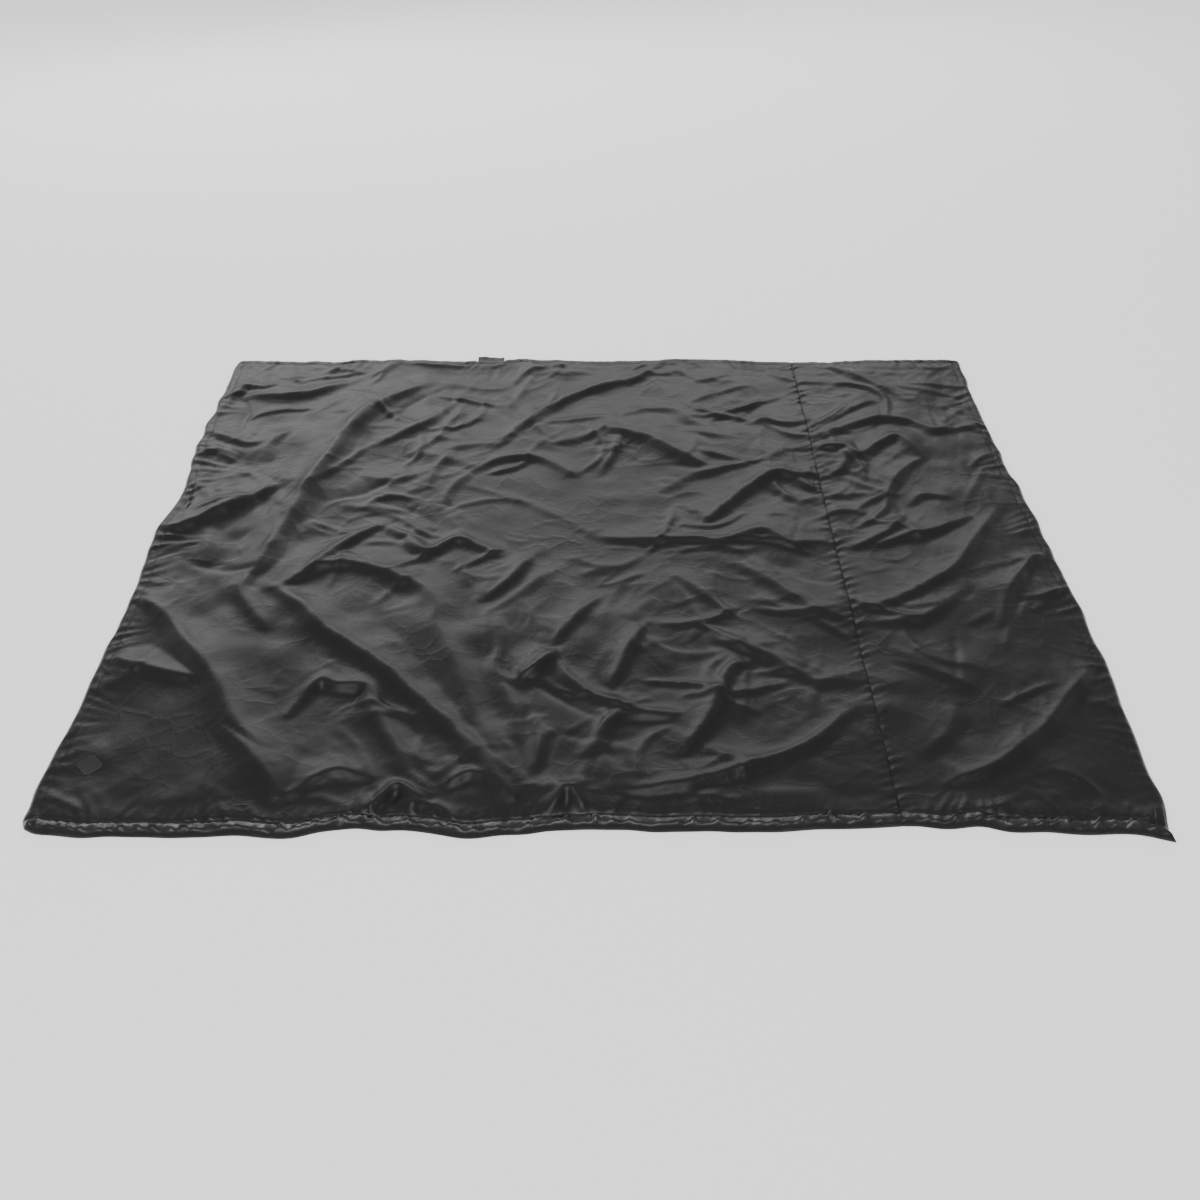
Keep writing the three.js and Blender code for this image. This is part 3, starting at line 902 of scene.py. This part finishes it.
def add_weave(tree, threads, **values):
    """The weave group placed in a material, by the place on the flat cloth."""
    group = shared_group("Plain Weave", weave_group)
    return add_group(tree, group, add_cloth_place(tree), Threads_per_Metre=threads, **values)


def add_tint(tree, shader, colour, factor, low, high):
    """Varies the base colour between two shares of itself."""
    ramp = tree.nodes.new("ShaderNodeMix")
    ramp.data_type = "RGBA"
    ramp.inputs[6].default_value = (*(channel * low for channel in colour), 1)
    ramp.inputs[7].default_value = (*(channel * high for channel in colour), 1)
    tree.links.new(factor, ramp.inputs[0])
    tree.links.new(ramp.outputs[2], shader.inputs["Base Color"])


def add_bumps(tree, shader, *layers):
    """Bump nodes one over another: (height, depth in metres) each."""
    normal = None
    for height, depth in layers:
        bump = tree.nodes.new("ShaderNodeBump")
        bump.inputs["Strength"].default_value = 1.0
        bump.inputs["Distance"].default_value = depth
        tree.links.new(height, bump.inputs["Height"])
        if normal:
            tree.links.new(normal, bump.inputs["Normal"])
        normal = bump.outputs[0]
    tree.links.new(normal, shader.inputs["Normal"])


def cloth_material(name, colour, roughness, spread, weave_depth, crease_depth, **sockets):
    """Thin woven cloth with crushed creases, for the cover and the lining."""
    material, tree, shader = new_material(name, colour, **sockets)
    place = add_cloth_place(tree)
    weave = add_weave(tree, 1500.0)
    creases = add_group(tree, shared_group("Crushed Creases", crinkle_group), place)
    patches = add_noise(tree, place, 5.0, 4.0)
    threads = add_math(tree, "MULTIPLY", weave.outputs["Shade"], 0.45)
    tone = add_math(tree, "ADD", threads, add_math(tree, "MULTIPLY", patches, 0.6))
    add_tint(tree, shader, colour, tone, 0.8, 1.25)
    uneven = add_math(tree, "SUBTRACT", patches, add_math(tree, "MULTIPLY", creases.outputs["Rub"], 0.3))
    uneven = add_range(tree, uneven, roughness - spread, roughness + spread)
    tree.links.new(uneven, shader.inputs["Roughness"])
    add_bumps(tree, shader, (creases.outputs["Height"], crease_depth), (weave.outputs["Height"], weave_depth))
    return material


# ---------------------------------------------------------------- what a user can change

class QuiltCoverSettings(bpy.types.PropertyGroup):
    """The satin cover."""
    colour: FloatVectorProperty(
        name="Colour", description="Colour of the satin cover", subtype="COLOR", size=3, min=0, max=1,
        default=(0.0125, 0.0120, 0.0121))
    roughness: FloatProperty(
        name="Roughness", description="How dull the satin is", default=0.38, min=0, max=1, subtype="FACTOR")
    spacing: FloatProperty(
        name="Grid Spacing", description="Distance between the cover's grid lines", default=0.0053,
        min=0.004, max=0.03, unit="LENGTH")


class QuiltLiningSettings(bpy.types.PropertyGroup):
    """The lining on the underside."""
    colour: FloatVectorProperty(
        name="Colour", description="Colour of the lining", subtype="COLOR", size=3, min=0, max=1,
        default=(0.034, 0.033, 0.0335))
    spacing: FloatProperty(
        name="Grid Spacing", description="Distance between the lining's grid lines", default=0.008,
        min=0.004, max=0.03, unit="LENGTH")


class QuiltBattSettings(bpy.types.PropertyGroup):
    """The batt between the cover and the lining."""
    colour: FloatVectorProperty(
        name="Colour", description="Colour of the fibre", subtype="COLOR", size=3, min=0, max=1,
        default=(0.78, 0.78, 0.76))
    fill: FloatProperty(
        name="Fill", description="How full the batt is, from slack to tight", default=0.4, min=0, max=1,
        subtype="FACTOR")


class QuiltThreadSettings(bpy.types.PropertyGroup):
    """The stitching."""
    colour: FloatVectorProperty(
        name="Colour", description="Colour of the thread", subtype="COLOR", size=3, min=0, max=1,
        default=(0.012, 0.0115, 0.0115))
    thickness: FloatProperty(
        name="Thread Thickness", description="Diameter of the thread", default=0.0007, min=0.0002, max=0.002,
        unit="LENGTH")
    stitch: FloatProperty(
        name="Stitch Length", description="From one needle hole to the next", default=0.0035, min=0.002,
        max=0.01, unit="LENGTH")


class QuiltEmblemSettings(bpy.types.PropertyGroup):
    """The plain patch in the front left corner."""
    colour: FloatVectorProperty(
        name="Colour", description="Colour of the patch", subtype="COLOR", size=3, min=0, max=1,
        default=(0.014, 0.0135, 0.0135))
    # The border's colour is lighter than the patch's: painted highlight, where its raised edges catch the
    # light.
    border_colour: FloatVectorProperty(
        name="Border Highlight Colour", description="Colour of the raised border", subtype="COLOR", size=3, min=0,
        max=1, default=(0.045, 0.0435, 0.0435))
    border: FloatProperty(
        name="Border Width", description="Width of the raised border", default=0.0025, min=0.001, max=0.01,
        unit="LENGTH")


class QuiltLabelSettings(bpy.types.PropertyGroup):
    """The blank ribbon label in the rear hem."""
    colour: FloatVectorProperty(
        name="Colour", description="Colour of the ribbon", subtype="COLOR", size=3, min=0, max=1,
        default=(0.016, 0.016, 0.0165))


class QuiltStageSettings(bpy.types.PropertyGroup):
    """The floor, lights and camera."""
    floor_colour: FloatVectorProperty(
        name="Floor Colour", description="Colour of the floor", subtype="COLOR", size=3, min=0, max=1,
        default=(0.86, 0.86, 0.86))
    window_power: FloatProperty(
        name="Window Power", description="Power of the large light behind the quilt", default=59, min=0,
        unit="POWER")
    sky_strength: FloatProperty(
        name="Sky Strength", description="Brightness of the light all round", default=0.5, min=0)


# ---------------------------------------------------------------- pieces

# Lights: name, place, what each points at, its size and its share of the window's power.
LIGHTS = (
    ("window", (-0.6, 3.8, 1.8), (-0.1, 0.2, 0), (5.4, 1.7), 1),
    ("strip", (-1.9, 3.6, 1.2), (-0.1, 0, 0), (2.4, 0.7), 0.16),
    ("front", (-0.5, -2.8, 4.8), (-0.2, 0, 0), (3.4, 2.4), 1.95),
)
CAMERA_PLACE = (0, -2.186, 1.626)
CAMERA_DOWN = math.radians(39.2)  # how far below the horizon the camera points
CAMERA_LENS = 37.5
FLOOR_HALF = 12
FLOOR_HEIGHT = -0.0006  # just clear of the lining


def lay_floor(settings):
    """A large plain floor, which is lit a little from within so that it stays pale."""
    material, tree, shader = new_material(
        "Pale Floor", settings.floor_colour, Roughness=0.9, Emission_Color=(1, 1, 1, 1),
        Emission_Strength=0.8)
    coordinates = tree.nodes.new("ShaderNodeTexCoord")
    cloudy = add_noise(tree, coordinates.outputs["Object"], 0.8)
    add_tint(tree, shader, settings.floor_colour, cloudy, 0.99, 1.01)
    corners = ((-1, -1), (1, -1), (1, 1), (-1, 1))
    points = np.array([(x * FLOOR_HALF, y * FLOOR_HALF, FLOOR_HEIGHT) for x, y in corners])
    floor = mesh_object("floor", points, np.array([[0, 1, 2, 3]]), material)


class QUILT_OT_stage(bpy.types.Operator):
    """Sets up the floor, the studio light and the camera"""
    bl_idname = "quilt.stage"
    bl_label = "Stage"

    def execute(self, context):
        settings = context.scene.quilt_stage
        lay_floor(settings)
        world = bpy.data.worlds.new("Studio")
        world.use_nodes = True
        background = world.node_tree.nodes["Background"]
        background.inputs["Color"].default_value = (1, 1, 1, 1)
        background.inputs["Strength"].default_value = settings.sky_strength
        context.scene.world = world
        for name, place, target, size, share in LIGHTS:
            light = bpy.data.lights.new(name, "AREA")
            light.shape = "RECTANGLE"
            light.size, light.size_y = size
            light.energy = settings.window_power * share
            lamp = bpy.data.objects.new(name, light)
            lamp.location = place
            lamp.rotation_euler = (Vector(target) - Vector(place)).to_track_quat("-Z", "Y").to_euler()
            lamp.visible_camera = False
            context.scene.collection.objects.link(lamp)
        camera = bpy.data.objects.new("camera", bpy.data.cameras.new("camera"))
        camera.data.lens = CAMERA_LENS
        camera.location = CAMERA_PLACE
        camera.rotation_euler = (math.pi / 2 - CAMERA_DOWN, 0, 0)
        context.scene.collection.objects.link(camera)
        context.scene.camera = camera
        return {"FINISHED"}


@lru_cache(maxsize=1)
def settled_once():
    """The settled cover, worked out once for every piece that follows it."""
    return settled_cover()


def panel_points(panel, spacing):
    """One panel of the finished cover: its points and their places on the flat cloth."""
    start, end, start_near, end_near = PANELS[panel]
    acrosses = lines_between(start, end, start_near, end_near, spacing)
    downs = lines_between(0, LENGTH, EDGE_LINES, EDGE_LINES, spacing)
    points = finished_cover(settled_once(), downs, acrosses)
    turned = len(TURNED_LINES)
    for k, (_, height) in enumerate(TURNED_LINES):
        for line in (points[k], points[-1 - k], points[:, k if panel == "main" else -1 - k]):
            line[:, 2] = np.minimum(line[:, 2], height)
    return points, np.stack(np.meshgrid(acrosses, downs), -1)


def shine_at_front_hem(tree):
    """Gives the satin a light coat, heavier and patchy where the tight front hem stretches it."""
    place = add_cloth_place(tree)
    split = tree.nodes.new("ShaderNodeSeparateXYZ")
    tree.links.new(place, split.inputs[0])
    down = split.outputs[1]
    inner = add_range(tree, down, 0.0, 1.0, LENGTH - HEM - 0.006, LENGTH - HEM + 0.003)
    outer = add_range(tree, down, 1.0, 0.05, LENGTH - 0.010, LENGTH - 0.005)
    patches = add_range(tree, add_noise(tree, place, 38.0, 2.0), 0.12, 0.72, 0.35, 0.6)
    extra = add_math(tree, "MULTIPLY", add_math(tree, "MULTIPLY", inner, outer), patches)
    coat = add_math(tree, "ADD", extra, LIGHT_COAT)
    tree.links.new(coat, tree.nodes["Principled BSDF"].inputs["Coat Weight"])


class QUILT_OT_cover(bpy.types.Operator):
    """Lays the crumpled satin cover, in its two joined panels"""
    bl_idname = "quilt.cover"
    bl_label = "Cover"

    def execute(self, context):
        settings = context.scene.quilt_cover
        material = cloth_material(
            "Charcoal Satin", settings.colour, settings.roughness, spread=0.07, weave_depth=0.00004,
            crease_depth=0.0012, Specular_IOR_Level=0.27, Specular_Tint=(1.0, 0.955, 0.96, 1),
            Coat_Roughness=0.25)
        shine_at_front_hem(material.node_tree)
        for panel in PANELS:
            points, places = panel_points(panel, settings.spacing)
            name = f"satin_cover_{panel}"
            faces = grid_faces(*points.shape[:2])
            cover = mesh_object(name, points.reshape(-1, 3), faces, material, places.reshape(-1, 2))
            bend_with_join(cover)
            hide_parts(f"cover_{panel}")
            start, end = PANELS[panel][:2]
        return {"FINISHED"}


class QUILT_OT_lining(bpy.types.Operator):
    """Lays the lining under the batt, in its two joined panels"""
    bl_idname = "quilt.lining"
    bl_label = "Lining"

    def execute(self, context):
        settings = context.scene.quilt_lining
        material = cloth_material(
            "Charcoal Lining", settings.colour, 0.62, spread=0.06, weave_depth=0.00005, crease_depth=0.0007)
        near, seam = LINING_EDGE_LINES, LINING_SEAM_LINES
        for panel, lines in (("main", (near, seam)), ("side", (seam, near))):
            start, end = PANELS[panel][:2]
            acrosses = lines_between(start, end, *lines, settings.spacing)
            downs = lines_between(0, LENGTH, near, near, settings.spacing)
            across, down = np.meshgrid(acrosses, downs)
            dx, dy = outline_shift(across, down)
            points = np.stack([LEFT + across + dx, REAR - down + dy, lining_height(across, down)], -1)
            faces = grid_faces(*across.shape, upwards=False)
            places = np.stack([across, down], -1).reshape(-1, 2)
            lining = mesh_object(f"lining_cloth_{panel}", points.reshape(-1, 3), faces, material, places)
            bend_with_join(lining)
            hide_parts(f"lining_{panel}")
        return {"FINISHED"}


BATT_SPACING = 0.0055
COVER_TO_BATT = 0.0014
BATT_TO_LINING = 0.0007
THINNEST_BATT = 0.0003


def furthest_near(heights, measure):
    """Heights with each one replaced by the lowest or highest of those close round it."""
    padded = np.pad(heights, 2, mode="edge")
    rows, columns = heights.shape
    return measure([padded[i:i + rows, j:j + columns] for i in range(5) for j in range(5)], 0)


def batt_points(acrosses, downs):
    """The batt's top and bottom, clear of the cover and the lining, on every other grid line."""
    top = finished_cover(settled_once(), downs, acrosses)
    bottom = top.copy()
    lining = lining_height(*np.meshgrid(acrosses, downs))
    bottom[..., 2] = furthest_near(lining, np.max) + BATT_TO_LINING
    below_cover = furthest_near(top[..., 2], np.min) - COVER_TO_BATT
    top[..., 2] = np.maximum(below_cover, bottom[..., 2] + THINNEST_BATT)
    thinned = np.ix_(*(np.unique(np.append(np.arange(0, n, 2), n - 1)) for n in top.shape[:2]))
    return top[thinned], bottom[thinned]


def slab_faces(rows, columns):
    """Faces of a closed slab whose top and bottom are grids, with walls round its border."""
    count = rows * columns
    index = np.arange(count).reshape(rows, columns)
    border = np.concatenate([index[0, :-1], index[:-1, -1], index[-1, :0:-1], index[:0:-1, 0]])
    following = np.roll(border, -1)
    walls = np.stack([border, following, following + count, border + count], -1)
    return np.concatenate([grid_faces(rows, columns), grid_faces(rows, columns, False) + count, walls])


class QUILT_OT_batt(bpy.types.Operator):
    """Fills each panel with its fibre batt"""
    bl_idname = "quilt.batt"
    bl_label = "Batt"

    def execute(self, context):
        settings = context.scene.quilt_batt
        material, tree, shader = new_material("White Fibre", settings.colour, Roughness=0.95)
        fibre = add_fibre(tree, 300.0)
        add_tint(tree, shader, settings.colour, fibre.outputs["Tone"], 0.9, 1.05)
        add_bumps(tree, shader, (fibre.outputs["Height"], 0.0008))
        near, seam = BATT_EDGE_LINES, BATT_SEAM_LINES
        for panel, lines in (("main", (near, seam)), ("side", (seam, near))):
            start, end = PANELS[panel][:2]
            acrosses = lines_between(start, end, *lines, BATT_SPACING)
            downs = lines_between(0, LENGTH, near, near, BATT_SPACING)
            top, bottom = batt_points(acrosses, downs)
            points = np.concatenate([top.reshape(-1, 3), bottom.reshape(-1, 3)])
            batt = mesh_object(f"fibre_batt_{panel}", points, slab_faces(*top.shape[:2]), material)
            bend_with_join(batt)
            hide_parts(f"batt_{panel}")
        return {"FINISHED"}


JOIN_ROW_OFF = 0.0022  # the join's stitching lies this far onto the main panel
JOIN_ROW_START = 0.008
HEM_ROW_GAP = 0.005  # between the hem's rows and the join

# The rows of stitching: name, sheet axis that the row runs along, its place on the other axis, and
# its ends.
SEWN_ROWS = (
    ("left_hem", "down", HEM, HEM, LENGTH - HEM),
    ("right_hem", "down", WIDTH - HEM, HEM, LENGTH - HEM),
    ("join", "down", SEAM - JOIN_ROW_OFF, JOIN_ROW_START, LENGTH - JOIN_ROW_START),
    ("front_hem_main", "across", LENGTH - HEM, HEM, SEAM - HEM_ROW_GAP),
    ("front_hem_side", "across", LENGTH - HEM, SEAM + HEM_ROW_GAP, WIDTH - HEM),
    ("rear_hem_main", "across", HEM, HEM, SEAM - HEM_ROW_GAP),
    ("rear_hem_side", "across", HEM, SEAM + HEM_ROW_GAP, WIDTH - HEM),
)

STITCH_SIDES = 6
# Along one stitch: places as shares of its length, heights over the cloth and thickness, in radii.
STITCH_SHARES = np.array([0.06, 0.22, 0.5, 0.78, 0.94])
STITCH_RISES = np.array([-0.5, 0.6, 0.95, 0.6, -0.5])
STITCH_THICKNESS = np.array([0.7, 1.0, 1.05, 1.0, 0.7])


def sewn_line(axis, at, places, under):
    """Points along a sewn row, on the cover or on the lining's underside."""
    lines = (places, np.array([at])) if axis == "down" else (np.array([at]), places)
    points = finished_cover(settled_once(), *lines).reshape(-1, 3)
    if under:
        across, down = np.meshgrid(lines[1], lines[0])
        points[:, 2] = lining_height(across, down).ravel()
    return points


def stitch_faces():
    """Faces of one stitch: quads round it, and two more that close each end."""
    sides = STITCH_SIDES
    rings = len(STITCH_SHARES)
    ring, turn = np.meshgrid(np.arange(rings - 1), np.arange(sides), indexing="ij")
    following = (turn + 1) % sides
    near, far = ring * sides, (ring + 1) * sides
    quads = np.stack([near + turn, near + following, far + following, far + turn], -1).reshape(-1, 4)
    first_end = np.array([[0, 3, 2, 1], [0, 5, 4, 3]])
    last_end = np.roll(first_end[:, ::-1], 1, axis=1) + (rings - 1) * sides
    return np.concatenate([quads, first_end, last_end])


def stitch_mesh(name, row, under, settings, material):
    """One row of stitches, each a short length of thread that dips into the cloth at both ends."""
    axis, at, start, end = row
    count = round((end - start) / settings.stitch)
    radius = settings.thickness / 2
    places = start + (np.arange(count)[:, None] + STITCH_SHARES) * (end - start) / count
    line = sewn_line(axis, at, places.ravel(), under).reshape(count, len(STITCH_SHARES), 3)
    random = np.random.default_rng(len(name))
    sideways = random.normal(0, 0.12, count)[:, None] * radius
    way = line[:, -1] - line[:, 0]
    way /= np.linalg.norm(way, axis=1)[:, None]
    side = np.cross(way, (0, 0, 1))
    side /= np.linalg.norm(side, axis=1)[:, None]
    up = np.cross(side, way)
    outwards = -up if under else up
    rises = STITCH_RISES * radius
    centres = line + outwards[:, None] * rises[None, :, None] + side[:, None] * sideways[..., None]
    turns = np.arange(STITCH_SIDES) / STITCH_SIDES * math.tau
    around = radius * (np.cos(turns)[:, None, None] * side + np.sin(turns)[:, None, None] * up)
    around = around.transpose(1, 0, 2)[:, None] * STITCH_THICKNESS[None, :, None, None]
    points = (centres[:, :, None] + around).reshape(-1, 3)
    first_points = np.arange(count) * STITCH_SIDES * len(STITCH_SHARES)
    faces = stitch_faces()[None] + first_points[:, None, None]
    return mesh_object(name, points, faces.reshape(-1, 4), material)


class QUILT_OT_stitching(bpy.types.Operator):
    """Sews the hems and the join, with the rows on the cover and those on the lining"""
    bl_idname = "quilt.stitching"
    bl_label = "Stitching"

    def execute(self, context):
        settings = context.scene.quilt_thread
        material, tree, shader = new_material("Black Thread", settings.colour, Roughness=0.6)
        fibre = add_fibre(tree, 2500.0)
        add_tint(tree, shader, settings.colour, fibre.outputs["Tone"], 0.7, 1.4)
        add_bumps(tree, shader, (fibre.outputs["Height"], 0.0001))
        for name, *row in SEWN_ROWS:
            for under in (False, True):
                word = "under_thread" if under else "thread"
                edge, _, panel = name.partition("hem_")
                node = f"{edge}hem_{word}_{panel}" if panel else f"{name}_{word}"
                piece = stitch_mesh(f"stitches_{node}", row, under, settings, material)
                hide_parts(node)
                if name in ("left_hem", "right_hem"):
                    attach(piece, "main" if name == "left_hem" else "side")
                else:
                    bend_with_join(piece)
        return {"FINISHED"}


READ_SPACING = 0.001
READ_REACH = 0.04  # how far round the patch the cover is read
LOZENGE_POINTS = 32  # along each side
CORNER_CUT = 0.12  # how far the lozenge's corners are rounded in
PATCH_RISE = 0.0001  # clear of the cover
PATCH_BULGE = 0.0005
BORDER_BULGE = 0.0012


def cover_near(low, high):
    """A function that gives points on the cover inside a small box of the sheet."""
    acrosses, downs = (np.arange(a, b, READ_SPACING) for a, b in zip(low, high))
    surface = finished_cover(settled_once(), downs, acrosses)

    def read(places):
        column, row = ((places - (acrosses[0], downs[0])) / READ_SPACING).T
        i, j = row.astype(int), column.astype(int)
        f, g = (row - i)[:, None], (column - j)[:, None]
        near = surface[i, j] * (1 - g) + surface[i, j + 1] * g
        far = surface[i + 1, j] * (1 - g) + surface[i + 1, j + 1] * g
        return near * (1 - f) + far * f

    return read


def lozenge_ring():
    """Places round a lozenge with rounded corners, which reaches one each way."""
    turns = np.linspace(0, 4, 4 * LOZENGE_POINTS, endpoint=False)
    corner, share = turns.astype(int), turns % 1
    corners = np.array([(1, 0), (0, 1), (-1, 0), (0, -1)], float)
    ring = corners[corner] * (1 - share)[:, None] + corners[(corner + 1) % 4] * share[:, None]
    to_corner = np.minimum(share, 1 - share)
    return ring * (1 - CORNER_CUT * np.exp(-((to_corner / 0.09) ** 2)))[:, None]


def ring_faces(rows, columns):
    """Quads between closed rings of points, from the outer ring inwards."""
    index = np.arange(rows * columns).reshape(rows, columns)
    index = np.hstack([index, index[:, :1]])
    faces = np.stack([index[:-1, :-1], index[:-1, 1:], index[1:, 1:], index[1:, :-1]], -1)
    return faces.reshape(-1, 4)[:, ::-1]


def lozenge_mesh(name, centre, outer, inner, read, material):
    """A lozenge of cloth that lies on the cover: a raised border, or a flat patch if inner is 0."""
    radii = np.linspace(outer, inner, 9 if inner else 16)
    places = centre + radii[:, None, None] * lozenge_ring()
    points = read(places.reshape(-1, 2)).reshape(*places.shape[:2], 3)
    across = np.linspace(0, 1, len(radii))
    if inner:
        bulge = BORDER_BULGE * np.sin(np.pi * across) ** 0.6
    else:
        bulge = PATCH_BULGE * np.minimum(across * 12, 1)
    points[..., 2] += PATCH_RISE + bulge[:, None]
    faces = ring_faces(*places.shape[:2])
    return mesh_object(name, points.reshape(-1, 3), faces, material, places.reshape(-1, 2))


class QUILT_OT_emblem(bpy.types.Operator):
    """Sews the plain lozenge patch and its raised border onto the cover"""
    bl_idname = "quilt.emblem"
    bl_label = "Patch"

    def execute(self, context):
        settings = context.scene.quilt_emblem
        low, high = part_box("emblem_border")
        half = (high.x - low.x) / 2
        centre = np.array([(low.x + high.x) / 2 - LEFT, REAR - (low.y + high.y) / 2])
        read = cover_near(centre - READ_REACH, centre + READ_REACH)
        # The border's material is a lighter copy of the patch's: painted highlight on its raised edges.
        for name, outer, inner, node, colour in (
            ("twill_patch", half - 0.001, 0.0, "emblem_patch", settings.colour),
            ("patch_border", half, half - settings.border, "emblem_border", settings.border_colour),
        ):
            material, tree, shader = new_material(f"Grey {name}", colour, Roughness=0.55)
            weave = add_weave(tree, 1200.0, Slub=0.8)
            add_tint(tree, shader, colour, weave.outputs["Shade"], 0.8, 1.3)
            add_bumps(tree, shader, (weave.outputs["Height"], 0.0001))
            piece = lozenge_mesh(name, centre, outer, inner, read, material)
            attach(piece, "main")
            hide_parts(node)
        return {"FINISHED"}


RIBBON_SEWN_IN = 0.004  # how far the ribbon reaches into the hem
RIBBON_FOLD = 0.001  # how far its folded end reaches past the two layers
RIBBON_HALF_GAP = 0.0004  # from the middle between the layers to either one
RIBBON_HEIGHT = 0.0016
RIBBON_CURL = 0.0042  # how far its end curls up
RIBBON_LINES = 16  # along each layer
RIBBON_BEND = (-0.001, 0.002)  # two distances out from the hem's edge


def ribbon_points(wide, long):
    """The folded ribbon: its points, their places on the cloth, and its numbers of grid lines."""
    widths = np.linspace(0, wide, 36)
    layer = np.linspace(-RIBBON_SEWN_IN, long - RIBBON_FOLD, RIBBON_LINES)
    turn = np.linspace(0, math.pi, 9)[1:-1]
    run = np.concatenate([layer, layer[-1] + RIBBON_FOLD * np.sin(turn), layer[::-1]])
    side = np.concatenate([np.ones(RIBBON_LINES), np.cos(turn), -np.ones(RIBBON_LINES)])
    x, y = np.meshgrid(widths, run)
    lift = RIBBON_CURL * (np.clip(y, 0, None) / long) ** 2 * (0.6 + 0.4 * np.sin(x / wide * 5 + 0.7))
    lift += 0.0004 * np.sin(x * 260 + y * 120)
    open_share = np.clip((y + RIBBON_SEWN_IN) / 0.008, 0.3, 1)
    z = RIBBON_HEIGHT + lift + side[:, None] * RIBBON_HALF_GAP * open_share
    points = np.stack([LABEL_LOW.x + x, LABEL_LOW.y + y, z], -1).reshape(-1, 3)
    along = np.cumsum(np.concatenate([[0], np.abs(np.diff(run))]))
    places = np.stack(np.meshgrid(widths, along), -1).reshape(-1, 2)
    return points, places, (len(run), len(widths))


class QUILT_OT_label(bpy.types.Operator):
    """Hangs the blank folded ribbon out of the rear hem"""
    bl_idname = "quilt.label"
    bl_label = "Label"

    def execute(self, context):
        settings = context.scene.quilt_label
        material, tree, shader = new_material("Black Ribbon", settings.colour, Roughness=0.4, IOR=1.53)
        weave = add_weave(tree, 2200.0)
        add_tint(tree, shader, settings.colour, weave.outputs["Shade"], 0.8, 1.3)
        add_bumps(tree, shader, (weave.outputs["Height"], 0.00008))
        wide, long = 2 * LABEL_HALF, LABEL_HIGH.y - LABEL_LOW.y
        points, places, lines = ribbon_points(wide, long)
        ribbon = mesh_object("ribbon_label", points, grid_faces(*lines)[:, ::-1], material, places)
        start, end = ((0, LABEL_LOW.y + out, 0) for out in RIBBON_BEND)
        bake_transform(ribbon)
        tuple(start)
        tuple(end)
        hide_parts("care_label")
        return {"FINISHED"}


class QUILT_PT_pieces(bpy.types.Panel):
    """Lists the quilt's pieces, with the sizes and colours of each"""
    bl_label = "Camp Quilt"
    bl_idname = "QUILT_PT_pieces"
    bl_space_type = "VIEW_3D"
    bl_region_type = "UI"
    bl_category = "Quilt"

    def draw(self, context):
        for _, operator, settings in PARTS:
            box = self.layout.box()
            box.operator(operator.bl_idname)
            group = getattr(context.scene, settings)
            for prop in group.bl_rna.properties:
                if prop.identifier in group.__annotations__:
                    box.prop(group, prop.identifier)


# Settings, operator and the scene property that holds the settings, in the order of making.
PARTS = (
    (QuiltStageSettings, QUILT_OT_stage, "quilt_stage"),
    (QuiltCoverSettings, QUILT_OT_cover, "quilt_cover"),
    (QuiltLiningSettings, QUILT_OT_lining, "quilt_lining"),
    (QuiltBattSettings, QUILT_OT_batt, "quilt_batt"),
    (QuiltThreadSettings, QUILT_OT_stitching, "quilt_thread"),
    (QuiltEmblemSettings, QUILT_OT_emblem, "quilt_emblem"),
    (QuiltLabelSettings, QUILT_OT_label, "quilt_label"),
)


def register():
    """Registers the settings, the operators and the panel."""
    for settings, operator, name in PARTS:
        bpy.utils.register_class(settings)
        bpy.utils.register_class(operator)
        setattr(bpy.types.Scene, name, PointerProperty(type=settings))
    bpy.utils.register_class(QUILT_PT_pieces)


def unregister():
    """Takes back all that register adds."""
    bpy.utils.unregister_class(QUILT_PT_pieces)
    for settings, operator, name in reversed(PARTS):
        delattr(bpy.types.Scene, name)
        bpy.utils.unregister_class(operator)
        bpy.utils.unregister_class(settings)


def main():
    """Makes every piece in order."""
    register()
    for _, operator, _ in PARTS:
        module, name = operator.bl_idname.split(".")
        getattr(getattr(bpy.ops, module), name)()


if __name__ == "__main__":
    main()
